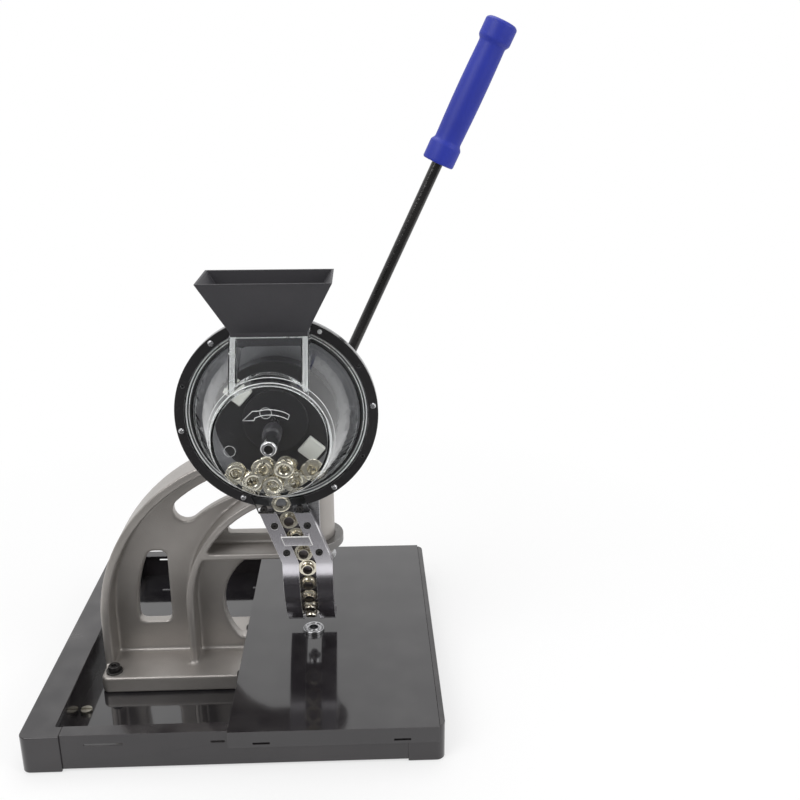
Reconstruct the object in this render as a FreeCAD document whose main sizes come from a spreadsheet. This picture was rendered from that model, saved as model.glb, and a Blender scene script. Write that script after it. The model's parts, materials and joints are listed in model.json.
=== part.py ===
import FreeCAD, Part

import math
import os
import re

import Sketcher

# Bench eyelet press: tray table, cast C-frame, rack ram with lever, and a tilting eyelet feeder.
# Millimetres and degrees. X is to the right, Y to the back and Z up. The origin is the middle of
# the base, on the plane of its rubber feet.

# Driving sizes. Each becomes a cell of the sheet with its name as alias.
SIZES = {
    # Base: tray, rails and table
    "base_width": 420,
    "base_depth": 390,
    "table_height": 42,
    "feet_height": 3,
    "foot_pad_radius": 12,
    "foot_pad_inset": 32,
    "tray_thickness": 2,
    "tray_setback": 2.5,
    "rail_bottom": 1,
    "rail_wall": 2.5,
    "rail_corner": 9,
    "left_rail_width": 33,
    "left_cap_width": 40,
    "right_rail_width": 37,
    "rail_lip_drop": 0.5,
    "cap_length": 17,
    "deck_thickness": 2,
    "gutter_width": 15,
    "sheet_thickness": 1.5,
    "table_left": -6,
    "table_inset": 6,
    "table_clearance": 1,
    "apron_height": 18,
    "apron_slot_drop": 15,
    "apron_slot_half": 8.5,
    "apron_left_slot_place": 33,
    "apron_right_slot_place": 37,
    "flange_height": 14,
    "slot_height": 2.4,
    "panel_slot_drop": 13,
    "long_slot_place": 122,
    "long_slot_half": 19,
    "short_slot_place": 10,
    "short_slot_half": 7,
    "support_width": 6,
    "support_inset": 6,
    "right_support_place": 54,
    "web_clearance": 3,
    "edge_screw_radius": 4,
    "edge_screw_head": 2.4,
    "edge_shank_radius": 1.6,
    "edge_screw_drop": 5,
    "front_screw_place": 75,
    "rear_screw_place": 10,
    "catch_radius": 6,
    "catch_height": 4,
    "catch_place": -105,
    "catch_slot_half": 1,
    "catch_slot_depth": 1.5,
    # Casting
    "frame_plane": -14,
    "web_thickness": 14,
    "rib_width": 72,
    "arch_setback": 12,
    "foot_inset": 17,
    "foot_reach": 36.5,
    "foot_width": 124,
    "foot_top": 26,
    "foot_corner": 5,
    "outer_arch_radius": 203,
    "outer_arch_wall": 9.5,
    "arch_overhang": 1,
    "arch_drop": 4,
    "inner_arch_centre": 75,
    "inner_arch_radius": 141,
    "inner_arch_wall": 8,
    "inner_arch_drop": 49,
    "band_rise": 6,
    "band_thickness": 7,
    "band_left": -43,
    "rib_gap": 21.5,
    "throat_centre": 41,
    "throat_height": 85,
    "throat_radius": 69,
    "window_inset": 35,
    "window_reach": 72.5,
    "window_bottom": 63,
    "window_top_width": 20.25,
    "window_corner": 8,
    "slot_inset": 26,
    "slot_width": 28,
    "slot_first_angle": 101,
    "slot_last_angle": 130.5,
    "gusset_left": -19,
    "gusset_rise": 18,
    "gusset_arch_wall": 1,
    "gusset_barrel_wall": 3,
    "bolt_inset": 12,
    "bolt_setback": 14,
    "bolt_radius": 4,
    "bolt_head_radius": 7,
    "bolt_head_height": 6,
    "washer_radius": 9,
    "washer_thickness": 2,
    # Head, ram and dies
    "punch_place": 71.5,
    "daylight": 106,
    "barrel_radius": 27.5,
    "barrel_length": 137,
    "bore_radius": 17,
    "cap_thickness": 5,
    "cap_socket_radius": 5,
    "cap_socket_depth": 3,
    "bush_length": 10,
    "upper_bush_length": 23,
    "collar_radius": 37,
    "collar_rise": 11,
    "collar_height": 9,
    "collar_first_angle": -118,
    "collar_sweep_angle": 236,
    "stem_radius": 12,
    "ram_radius": 14.5,
    "ram_reach": 44,
    "ram_drop": 5,
    "ram_chamfer": 1,
    "ram_screw_radius": 1.5,
    "ram_screw_rise": 3,
    "ram_screw_sink": 0.3,
    "stroke": 23.5,
    "spring_wire": 2.2,
    "spring_turns": 4,
    "cone_rise": 6,
    "cone_height": 32,
    "cone_small_radius": 13,
    "cone_slope": 0.485,
    "die_length": 30,
    "die_nose_radius": 7.5,
    "die_nose_chamfer": 0.6,
    "die_flange_radius": 11,
    "die_flange_height": 5,
    "shank_radius": 6,
    "shank_length": 18,
    "shank_room": 1,
    "pilot_radius": 4.6,
    "pilot_drop": 7,
    "pilot_seat_depth": 18,
    "pilot_tip_radius": 1.6,
    "pilot_tip_rise": 0.3,
    "pilot_shoulder_radius": 3.4,
    "pilot_shoulder_rise": 1.5,
    "pilot_tip_length": 4,
    "lower_die_radius": 12,
    "lower_die_rise": 5,
    "lower_die_chamfer": 1,
    "lower_shank_radius": 9,
    "lower_shank_length": 16,
    "pilot_room": 0.6,
    "lower_bore_depth": 5,
    "groove_rim": 2.5,
    "groove_depth": 1.5,
    "groove_outer_slope": 1,
    "groove_inner_slope": 0.7,
    "groove_lip": 0.8,
    "anvil_radius": 22,
    "die_screw_radius": 2,
    "die_screw_sink": 2,
    "grub_socket_radius": 1.2,
    "grub_socket_depth": 2,
    # Pinion and lever
    "gear_module": 2,
    "pinion_teeth": 16,
    "pinion_rise": 62,
    "rack_offset": 7.5,
    "pinion_width": 20,
    "gear_tip_room": 0.6,
    "gear_side_room": 1,
    "pinion_boss_radius": 24,
    "boss_front": -38,
    "boss_back": 22,
    "shaft_radius": 9,
    "shaft_bush_wall": 4,
    "shaft_setback": 1,
    "shaft_overhang": 9,
    "shaft_collar_wall": 5,
    "shaft_collar_width": 8,
    "lever_angle": 25,
    "hub_gap": 1,
    "hub_radius": 16,
    "hub_width": 24,
    "hub_screw_radius": 2,
    "hub_screw_drop": 8,
    "hub_screw_sink": 0.5,
    "socket_radius": 10.5,
    "socket_reach": 38,
    "rod_radius": 6,
    "rod_start": 16,
    "rod_chamfer": 1,
    "grip_start": 394,
    "grip_length": 152,
    "grip_radius": 17,
    "grip_waist_radius": 14,
    "grip_collar_length": 20,
    "grip_neck_length": 5,
    "grip_belly": 0.8,
    "grip_lip": 2,
    "grip_lip_length": 3,
    "grip_crown": 3,
    "grip_end_wall": 12,
    # Feeder hinge and cam roller
    "hinge_drop": 13,
    "hinge_reach": 19.5,
    "hinge_pin_radius": 3,
    "pin_overhang": 1.5,
    "knuckle_radius": 7,
    "knuckle_width": 28,
    "knuckle_room": 2,
    "ear_thickness": 6,
    "saddle_height": 20,
    "saddle_screw_offset": 8,
    "saddle_screw_radius": 2.5,
    "saddle_screw_wall": 3,
    "saddle_head_radius": 4,
    "saddle_head_height": 4,
    "roller_rise": 2,
    "roller_radius": 6,
    "roller_width": 7,
    "roller_pin_radius": 1.5,
    "lug_depth": 22,
    "lug_front": 3,
    "lug_half_height": 6,
    "lug_thickness": 4,
    # Chute
    "feed_offset": 15,
    "chute_half_width": 26.5,
    "chute_lip": 2.1,
    "channel_room": 1.1,
    "chute_face_thickness": 5,
    "channel_depth": 2,
    "chute_back_thickness": 8,
    "chute_end_reach": 12.94,
    "chute_end_rise": 10.9,
    "chute_lean_angle": 20,
    "chute_bend_angle": 70.5,
    "punch_slot_half": 8.3,
    "punch_slot_reach": 9,
    "punch_slot_rise": 24,
    "chute_screw_offset": 17,
    "chute_screw_radius": 2,
    "chute_head_radius": 4,
    "chute_head_height": 2.8,
    "counterbore_radius": 4.2,
    "counterbore_depth": 3,
    "screw_end_wall": 1,
    "clip_half_width": 15,
    "clip_height": 11,
    "clip_thickness": 4,
    "clip_room": 2,
    "finger_width": 2,
    "finger_thickness": 0.8,
    "finger_angle": 14,
    "outlet_depth": 8,
    "outlet_drop": 5.4,
    "outlet_reach": 24,
    "outlet_wall": 1.2,
    "outlet_screw_rise": 6,
    "outlet_screw_offset": 18.5,
    "outlet_screw_radius": 1.8,
    "outlet_head_radius": 3.4,
    "outlet_head_height": 3,
    "bracket_thickness": 5,
    "bracket_rise": 8,
    # Drum, cover and funnel
    "drum_offset": 25,
    "drum_rise": 60,
    "drum_radius": 101.6,
    "drum_plate_thickness": 4,
    "ring_width": 10.1,
    "ring_thickness": 6,
    "ring_screw_radius": 1.5,
    "ring_head_radius": 3.2,
    "ring_head_height": 2.2,
    "ring_screw_wall": 0.5,
    "cover_rim": 7.5,
    "cover_taper": 28,
    "cover_depth": 80,
    "cover_wall": 3,
    "cover_flange": 3.5,
    "cover_foot": 2,
    "cover_shoulder": 1.5,
    "cover_shoulder_depth": 2.5,
    "cover_edge": 1,
    "neck_half_width": 37,
    "neck_side_wall": 7,
    "neck_wall": 3,
    "neck_sink": 16,
    "neck_drop": 9.6,
    "neck_reach": 49,
    "neck_gap": 11,
    "inlet_margin": 1,
    "funnel_half_width": 61,
    "funnel_reach": 29,
    "funnel_height": 56,
    "funnel_wall": 2,
    "funnel_foot_inset": 1,
    "funnel_foot_height": 4,
    "spout_drop": 10,
    "disc_radius": 60,
    "disc_thickness": 19,
    "agitator_hub_radius": 32,
    "agitator_hub_thickness": 4,
    "paddle_size": 20,
    "paddle_height": 6,
    "paddle_circle": 46,
    "spindle_radius": 4,
    "spindle_end": 3,
    "knob_radius": 9,
    "knob_length": 12,
    "knob_skirt": 6,
    "knob_chamfer": 2,
    "knob_setback": 13,
    "nut_radius": 6,
    "nut_length": 18,
    "nut_chamfer": 1,
    "nut_washer_width": 3,
    "nut_washer_thickness": 2,
    "back_nut_length": 3,
    "back_nut_room": 1,
    "stud_reach": 3,
    "stud_chamfer": 1,
    "ratchet_radius": 18,
    "ratchet_thickness": 5,
    "ratchet_tooth": 2.5,
    "ratchet_play": 1,
    "ratchet_teeth": 16,
    "pawl_offset": 8,
    "pawl_drop": 14,
    "pawl_pin_radius": 2,
    "pawl_eye_radius": 4.5,
    "pawl_half_width": 4,
    "pawl_tip_height": 3,
    # Eyelets
    "eyelet_radius": 10,
    "eyelet_barrel_radius": 6.2,
    "eyelet_bore_radius": 5.2,
    "eyelet_flange_thickness": 1.2,
    "eyelet_rounding": 0.5,
    "eyelet_length": 6,
    "queue_gap": 1,
    "queue_reach": 8,
    "track_play": 0.5,
    # Clearances, and how far a cutting shape passes a face
    "fit": 0.05,
    "gap": 0.3,
    "overshoot": 1,
}

# Sizes and places that follow from the driving ones.
DERIVED = {
    "table_right": "base_width / 2 - table_inset",
    "foot_left": "left_rail_width + foot_inset - base_width / 2",
    "foot_end": "punch_place + foot_reach",
    "barrel_bottom": "table_height + daylight",
    "barrel_top": "barrel_bottom + barrel_length",
    "band_height": "barrel_bottom + band_rise",
    "collar_bottom": "barrel_bottom + collar_rise",
    "outer_arch_centre": "foot_left - arch_overhang + outer_arch_radius",
    "outer_arch_height": "barrel_top - arch_drop - outer_arch_radius",
    "inner_arch_height": "barrel_top - inner_arch_drop - inner_arch_radius",
    "rib_end": "punch_place - rib_gap",
    "window_radius": "outer_arch_radius - window_inset",
    "window_right": "foot_left - arch_overhang + window_reach",
    # The window ends where it is still wide enough for its rounded corners.
    "window_top": "outer_arch_height"
    " + sqrt(window_radius ^ 2 - (outer_arch_centre - window_right + window_top_width) ^ 2)",
    "slot_outer_radius": "outer_arch_radius - slot_inset",
    "slot_inner_radius": "slot_outer_radius - slot_width",
    "gusset_bottom": "band_height + gusset_rise",
    "pinion_height": "barrel_bottom + pinion_rise",
    "shaft_bush_radius": "shaft_radius + shaft_bush_wall",
    "lever_plane": "boss_back + hub_gap + hub_width / 2",
    "ram_bottom": "barrel_bottom - ram_reach",
    "ram_top": "barrel_top - ram_drop",
    # The ram's shoulder, which the return spring lifts, stays below the pinion's teeth.
    "ram_shoulder": "pinion_height - gear_module * (pinion_teeth / 2 + 1)",
    "die_face": "ram_bottom - die_length",
    "cone_bottom": "ram_bottom + cone_rise",
    "roller_height": "cone_bottom + roller_rise",
    "lower_bore_radius": "pilot_radius + pilot_room",
    "hinge_height": "barrel_top - hinge_drop",
    "hinge_plane": "frame_plane - barrel_radius - hinge_reach",
    "feed_plane": "hinge_plane - feed_offset",
    "drum_place": "punch_place - drum_offset",
    "drum_height": "hinge_height + drum_rise",
    "ring_inner_radius": "drum_radius - ring_width",
    "ring_screw_circle": "drum_radius - ring_width / 2",
    "cover_base_radius": "ring_inner_radius - cover_rim",
    "cover_front_radius": "cover_base_radius - cover_taper",
    "channel_half": "eyelet_radius + channel_room",
    "chute_slot_half": "channel_half - chute_lip",
    # The chute's bend starts upright and ends over the lower die.
    "chute_radius": "(frame_plane + chute_end_reach - feed_plane + chute_face_thickness)"
    " / (1 - cos(chute_bend_angle))",
    "chute_kink": "table_height + chute_end_rise + chute_radius * sin(chute_bend_angle)",
    "chute_rise": "drum_height - drum_radius - outlet_drop - chute_kink",
    "neck_bottom": "drum_height + cover_front_radius - neck_sink",
    "neck_top": "drum_height + drum_radius - neck_drop",
    "neck_front": "feed_plane - neck_reach",
    "neck_back": "feed_plane - neck_gap",
    "funnel_front": "neck_front - funnel_reach",
    "funnel_top": "neck_top + funnel_height",
    "funnel_foot_half_width": "neck_half_width - funnel_foot_inset",
}

# Gear proportions, in modules.
ROOT_DEPTH = 1.25
TIP_HEIGHT = 0.85
TOOTH_HALF_ROOT = 1.05
TOOTH_HALF_FOOT = 0.97
TOOTH_HALF_TIP = 0.3
TOOTH_SINK = 0.25
GAP_HALF_TOP = 1.2
GAP_HALF_ROOT = 0.75
GAP_OVERLAP = 0.05
# How far the rack goes past the pinion's axis at both ends of the stroke, in pitches.
RACK_END_PITCHES = 2.5

# Places of small things as shares of what they sit on.
CHUTE_SCREW_SHARES = (0.2, 0.73)
CLIP_SHARE = 0.46
SOCKET_SHARE = 0.55
BEND_START_SHARE = 0.72

# Angles about the drum's axis, in degrees from the right upwards.
RING_SCREW_ANGLES = (129, 189, 5, 305, 247)
RING_HOLE_ANGLES = (62, 31, 332, 161)
PADDLE_ANGLES = (139, 319)
RATCHET_UNDERCUT = 0.02
MOUTH_ANGLE = 19

DOC = FreeCAD.newDocument("eyelet_press")
SHEET = DOC.addObject("Spreadsheet::Sheet", "Sizes")
SUB_PARTS = []

AXIS_TURNS = {
    "X": FreeCAD.Rotation(FreeCAD.Vector(0, 1, 0), 90),
    "Y": FreeCAD.Rotation(FreeCAD.Vector(1, 0, 0), -90),
    "Z": FreeCAD.Rotation(),
}
# Turns for a sector of a cylinder: its own X axis is where the angle starts.
SECTOR_TURNS = {
    "-Y from +X up": FreeCAD.Rotation(FreeCAD.Vector(1, 0, 0), 90),
    "+X from -Y down": FreeCAD.Rotation(
        FreeCAD.Vector(0, -1, 0), FreeCAD.Vector(0, 0, -1), FreeCAD.Vector(1, 0, 0), "ZXY"
    ),
    "+Z from +X": FreeCAD.Rotation(),
}

# Places worked out from the driving sizes, as text for the sheet.
LEFT = "(-base_width / 2)"
RIGHT = "(base_width / 2)"
FRONT = "(-base_depth / 2)"
BACK = "(base_depth / 2)"
TRAY_LEFT = f"({LEFT} + left_rail_width)"
PANEL_LEFT = f"({LEFT} + left_cap_width)"
TRAY_RIGHT = f"({RIGHT} - right_rail_width)"
FLOOR_TOP = "(feet_height + tray_thickness)"
DECK_TOP = f"({FLOOR_TOP} + deck_thickness)"
PLATE_UNDER = "(table_height - sheet_thickness)"
PANEL_FRONT = f"({FRONT} + tray_setback)"
PANEL_BACK = f"({BACK} - tray_setback)"
WEB_FRONT = "(frame_plane - web_thickness / 2)"
WEB_BACK = "(frame_plane + web_thickness / 2)"
RIB_FRONT = "(frame_plane - rib_width / 2)"
RIB_BACK = "(frame_plane + rib_width / 2)"
ARCH_BACK = "(frame_plane + arch_setback)"
OUTER_ARCH = ("outer_arch_centre", "outer_arch_height")
INNER_ARCH = ("inner_arch_centre", "inner_arch_height")
PITCH_RADIUS = "(gear_module * pinion_teeth / 2)"
PINION_PLACE = f"(punch_place - rack_offset - {PITCH_RADIUS})"
PINION = (PINION_PLACE, "pinion_height")
BUSH_TOP = "(barrel_bottom + bush_length)"
CHUTE_FACE = "(feed_plane - chute_face_thickness)"
CHUTE_CENTRE = (f"({CHUTE_FACE} + chute_radius)", "chute_kink")
CHUTE_TOP = "(chute_kink + chute_rise)"
PLATE_BACK = "(feed_plane + drum_plate_thickness)"
DRUM = ("drum_place", "drum_height")
COVER_FRONT = "(feed_plane - cover_depth)"
SADDLE_FRONT = "(hinge_plane + knuckle_radius + knuckle_room)"
ROLLER_PLANE = (
    "(frame_plane - cone_small_radius - (roller_height - cone_bottom) * cone_slope"
    " - (roller_radius + gap) / cos(atan(cone_slope)))"
)


def sheet_text(text):
    """The text with derived sizes written out and driving sizes read from the sheet."""

    def written(word):
        name = word[0]
        if name in DERIVED:
            return f"({sheet_text(DERIVED[name])})"
        return f"Sizes.{name}" if name in SIZES else name

    return re.sub(r"[a-z][a-z_]*", written, str(text))


def value(text):
    """The number that an expression of the sheet's sizes gives now."""
    return float(SHEET.evalExpression(sheet_text(text)))


def bind(item, **texts):
    """Bind properties of a document object to expressions of the sheet's sizes."""
    for name, text in texts.items():
        item.setExpression(name, sheet_text(text))


def seat(item, place, turn=None):
    """Put an object at a place given as three expressions, with a turn."""
    if turn is not None:
        item.Placement = FreeCAD.Placement(FreeCAD.Vector(), turn)
    for axis, text in zip("xyz", place):
        item.setExpression(f"Placement.Base.{axis}", sheet_text(text))
    return item


def keep(name, item):
    """Register an object as the sub-part of that name."""
    item.Label = name
    SUB_PARTS.append(item)
    return item


def place_along(axis, start, across):
    """The three coordinates of a start along an axis and the other two across it."""
    place = list(across)
    place.insert("XYZ".index(axis), start)
    return place


def box(name, along_x, along_y, along_z):
    """A box between two X, two Y and two Z places."""
    item = DOC.addObject("Part::Box", name)
    spans = {"Length": along_x, "Width": along_y, "Height": along_z}
    bind(item, **{side: f"({end}) - ({start})" for side, (start, end) in spans.items()})
    return seat(item, [start for start, _ in spans.values()])


def rod(name, radius, axis, span, across):
    """A cylinder along an axis, between two places on it."""
    item = DOC.addObject("Part::Cylinder", name)
    bind(item, Radius=radius, Height=f"({span[1]}) - ({span[0]})")
    return seat(item, place_along(axis, span[0], across), AXIS_TURNS[axis])


def cone(name, radii, axis, span, across):
    """A cone along an axis, with its radius at the start and at the end."""
    item = DOC.addObject("Part::Cone", name)
    bind(item, Radius1=radii[0], Radius2=radii[1], Height=f"({span[1]}) - ({span[0]})")
    return seat(item, place_along(axis, span[0], across), AXIS_TURNS[axis])


def hexagon(name, radius, axis, span, across):
    """A six-sided prism along an axis, between two places on it."""
    item = DOC.addObject("Part::Prism", name)
    item.Polygon = 6
    bind(item, Circumradius=radius, Height=f"({span[1]}) - ({span[0]})")
    return seat(item, place_along(axis, span[0], across), AXIS_TURNS[axis])


def wedge(name, low_x, high_x, low_y, high_y, along_z):
    """A solid whose rectangle changes from the low X and Y spans to the high ones over Z."""
    item = DOC.addObject("Part::Wedge", name)
    # The wedge's own Y points up and its own Z points to the front.
    bind(item, Xmin=low_x[0], Xmax=low_x[1], X2min=high_x[0], X2max=high_x[1])
    bind(item, Zmin=f"-({low_y[1]})", Zmax=f"-({low_y[0]})")
    bind(item, Z2min=f"-({high_y[1]})", Z2max=f"-({high_y[0]})")
    bind(item, Ymin="0", Ymax=f"({along_z[1]}) - ({along_z[0]})")
    return seat(item, ("0", "0", along_z[0]), AXIS_TURNS["Y"].inverted())


def cut(name, base, *tools):
    """The base less the tools."""
    item = DOC.addObject("Part::Cut", name)
    item.Base = base
    item.Tool = tools[0] if len(tools) == 1 else fuse(f"{name}_tools", *tools)
    return item


def fuse(name, *pieces):
    """One solid of several pieces."""
    item = DOC.addObject("Part::MultiFuse", name)
    item.Shapes = list(pieces)
    item.Refine = True
    return item


def common(name, base, tool):
    """What two solids share."""
    item = DOC.addObject("Part::Common", name)
    item.Base = base
    item.Tool = tool
    return item


def group(name, *pieces):
    """Separate solids that belong to one sub-part."""
    item = DOC.addObject("Part::Compound", name)
    item.Links = list(pieces)
    return item


def tube(name, outer, inner, axis, span, across):
    """A ring or tube along an axis."""
    body = rod(f"{name}_body", outer, axis, span, across)
    return cut(name, body, rod(f"{name}_bore", inner, axis, span, across))


def sector(name, radii, turn, angles, place, depth):
    """A part of a ring between two radii, from a start angle through a sweep."""
    start = FreeCAD.Rotation(FreeCAD.Vector(0, 0, 1), value(angles[0]))
    pieces = []
    for label, radius in zip(("outer", "inner"), radii):
        item = DOC.addObject("Part::Cylinder", f"{name}_{label}")
        bind(item, Radius=radius, Angle=angles[1], Height=depth)
        pieces.append(seat(item, place, SECTOR_TURNS[turn] * start))
    return cut(name, *pieces)


def rounded(name, base, radius, picked):
    """The base with the edges rounded that the test picks."""
    DOC.recompute()
    item = DOC.addObject("Part::Fillet", name)
    item.Base = base
    size = value(radius)
    item.Edges = [(i, size, size) for i, edge in enumerate(base.Shape.Edges, 1) if picked(edge)]
    return item


def runs_along(edge, axis):
    """Whether an edge is straight and lies along a main axis."""
    if len(edge.Vertexes) != 2 or edge.Curve.TypeId != "Part::GeomLine":
        return False
    step = edge.Vertexes[1].Point - edge.Vertexes[0].Point
    return abs(abs(step[axis]) - edge.Length) < 1e-6


def outline_sketch(body, plane, points):
    """A closed sketch of straight lines on one of the body's origin planes, with bound corners."""
    sketch = body.newObject("Sketcher::SketchObject", f"{body.Name}_outline")
    origin_plane = next(f for f in body.Origin.OriginFeatures if f.Role == f"{plane}_Plane")
    sketch.AttachmentSupport = (origin_plane, [""])
    sketch.MapMode = "FlatFace"
    corners = [FreeCAD.Vector(value(first), value(second), 0) for first, second in points]
    count = len(corners)
    sides = [Part.LineSegment(corners[i], corners[(i + 1) % count]) for i in range(count)]
    sketch.addGeometry(sides, False)
    for i, (first, second) in enumerate(points):
        sketch.addConstraint(Sketcher.Constraint("Coincident", i, 2, (i + 1) % count, 1))
        for kind, text, at in (("DistanceX", first, corners[i].x), ("DistanceY", second, corners[i].y)):
            number = sketch.addConstraint(Sketcher.Constraint(kind, -1, 1, i, 1, at))
            sketch.setExpression(f"Constraints[{number}]", sheet_text(text))
    return sketch


def turned(name, axis, profile, across, start="0"):
    """A body turned about an axis from (radius, distance along the axis) points."""
    body = DOC.addObject("PartDesign::Body", name)
    sketch = outline_sketch(body, "XZ", profile)
    turn = body.newObject("PartDesign::Revolution", f"{name}_turn")
    turn.Profile = sketch
    turn.ReferenceAxis = (next(f for f in body.Origin.OriginFeatures if f.Role == "Z_Axis"), [""])
    turn.Angle = 360
    return seat(body, place_along(axis, start, across), AXIS_TURNS[axis])


def padded(name, plane, points, span):
    """A body padded from an outline across a plane, between two places on its normal."""
    body = DOC.addObject("PartDesign::Body", name)
    pad = body.newObject("PartDesign::Pad", f"{name}_pad")
    pad.Profile = outline_sketch(body, plane, points)
    bind(pad, Length=f"({span[1]}) - ({span[0]})")
    # The XZ plane's normal points to the front, so that pad starts at its rear end.
    place = {"XY": ("0", "0", span[0]), "YZ": (span[0], "0", "0"), "XZ": ("0", span[1], "0")}[plane]
    return seat(body, place)


def cap_screw(name, axis, seat_place, across, head, shank, inward):
    """A socket head screw: head (radius, height), shank (radius, length), inward +1 or -1."""
    sign = "+" if inward > 0 else "-"
    back = "-" if inward > 0 else "+"
    ends = {
        "head": (f"{seat_place} {back} ({head[1]})", seat_place),
        "shank": (seat_place, f"{seat_place} {sign} ({shank[1]})"),
        "socket": (f"{seat_place} {back} ({head[1]})", f"{seat_place} {back} ({head[1]}) / 3"),
    }
    if inward < 0:
        ends = {part: span[::-1] for part, span in ends.items()}
    solid = fuse(
        f"{name}_solid",
        rod(f"{name}_head", head[0], axis, ends["head"], across),
        rod(f"{name}_shank", shank[0], axis, ends["shank"], across),
    )
    socket = hexagon(f"{name}_socket", f"({head[0]}) * {SOCKET_SHARE}", axis, ends["socket"], across)
    return cut(name, solid, socket)


# ---------------------------------------------------------------- base


def front_and_back():
    """The two ends of the base: a name, its outer place and the sign that points inwards."""
    return (("front", FRONT, "+"), ("back", BACK, "-"))


def end_span(outer, inward, first, last):
    """The Y span between two distances inwards from an end of the base."""
    span = (f"{outer} {inward} ({first})", f"{outer} {inward} ({last})")
    return span if inward == "+" else span[::-1]


def foot_bolt_places():
    """X and Y of the bolts through the casting's foot, the last two of them under the table."""
    pairs = (("foot_left + bolt_inset", "foot_width"), ("foot_end - bolt_inset", "rib_width"))
    places = []
    for x, width in pairs:
        places += [(x, f"frame_plane {sign} ({width} / 2 - bolt_setback)") for sign in "-+"]
    return places


def base_tray():
    """Sheet tray: floor, a slotted panel at each end and their rims left of the table."""
    height = ("feet_height", FLOOR_TOP)
    between_caps = (f"{FRONT} + cap_length", f"{BACK} - cap_length")
    pieces = [
        box("tray_floor", (PANEL_LEFT, TRAY_RIGHT), (PANEL_FRONT, PANEL_BACK), height),
        box("gutter_floor", (TRAY_LEFT, PANEL_LEFT), between_caps, height),
    ]
    slot_height = ("table_height - panel_slot_drop", "table_height - panel_slot_drop + slot_height")
    slots = []
    for end, outer, inward in front_and_back():
        wall = end_span(outer, inward, "tray_setback", "tray_setback + tray_thickness")
        rim = end_span(outer, inward, "tray_setback", "cap_length")
        pieces.append(box(f"{end}_panel", (PANEL_LEFT, TRAY_RIGHT), wall, ("feet_height", PLATE_UNDER)))
        rim_width = (PANEL_LEFT, "table_left - gap")
        pieces.append(box(f"{end}_rim", rim_width, rim, (PLATE_UNDER, "table_height")))
        for label in ("long", "short"):
            centre = f"table_left - {label}_slot_place"
            across = (f"{centre} - {label}_slot_half", f"{centre} + {label}_slot_half")
            slots.append(box(f"{end}_{label}_slot", across, wall, slot_height))
    holes = bolt_holes("tray_bolt_hole", ("0", FLOOR_TOP))
    return keep("base_tray", cut("base_tray_cut", fuse("base_tray_solid", *pieces), *slots, *holes))


def bolt_holes(name, span):
    """Clearance holes for the foot bolts through a Z span."""
    places = enumerate(foot_bolt_places())
    return [rod(f"{name}_{i}", "bolt_radius + gap", "Z", span, place) for i, place in places]


def rail(name, blocks, hollow, outer_edge):
    """A rail of boxes, hollow from below, with rounded outer corners."""
    solid = fuse(f"{name}_solid", *blocks)
    outside = value(outer_edge)
    smooth = rounded(
        f"{name}_rounded",
        solid,
        "rail_corner",
        lambda edge: runs_along(edge, 2) and abs(edge.Vertexes[0].X - outside) < 1e-6,
    )
    return keep(name, cut(f"{name}_cut", smooth, hollow))


def left_rail():
    """Left side rail, with end caps that reach to the panels."""
    height = ("rail_bottom", "table_height")
    blocks = [box("left_rail_bar", (LEFT, TRAY_LEFT), (FRONT, BACK), height)]
    for end, outer, inward in front_and_back():
        cap = end_span(outer, inward, "0", "cap_length")
        blocks.append(box(f"left_{end}_cap", (TRAY_LEFT, PANEL_LEFT), cap, height))
    hollow = box(
        "left_rail_hollow",
        (f"{LEFT} + rail_wall", f"{TRAY_LEFT} - rail_wall"),
        (f"{FRONT} + rail_corner", f"{BACK} - rail_corner"),
        ("rail_bottom", "table_height - rail_wall"),
    )
    return rail("left_rail", blocks, hollow, LEFT)


def right_rail():
    """Right side rail, under the edge of the table plate."""
    inset = "sheet_thickness + gap"
    depth = (f"{FRONT} + {inset}", f"{BACK} - ({inset})")
    block = box("right_rail_bar", (TRAY_RIGHT, RIGHT), depth, ("rail_bottom", PLATE_UNDER))
    lip_height = (PLATE_UNDER, "table_height - rail_lip_drop")
    cap = box("right_rail_lip", ("table_right + gap", RIGHT), depth, lip_height)
    hollow = box(
        "right_rail_hollow",
        (f"{TRAY_RIGHT} + rail_wall", f"{RIGHT} - rail_wall"),
        (f"{FRONT} + rail_corner", f"{BACK} - rail_corner"),
        ("rail_bottom", f"{PLATE_UNDER} - rail_wall"),
    )
    return rail("right_rail", [block, cap], hollow, RIGHT)


def deck_plate():
    """Glossy plate on the tray's floor, under the casting's foot."""
    inset = "tray_thickness + gap"
    plate = box(
        "deck_sheet",
        (f"{TRAY_LEFT} + gutter_width", f"{TRAY_RIGHT} - gap"),
        (f"{PANEL_FRONT} + {inset}", f"{PANEL_BACK} - ({inset})"),
        (FLOOR_TOP, DECK_TOP),
    )
    holes = bolt_holes("deck_bolt_hole", (FLOOR_TOP, DECK_TOP))
    return keep("deck_plate", cut("deck_plate_cut", plate, *holes))


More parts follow.
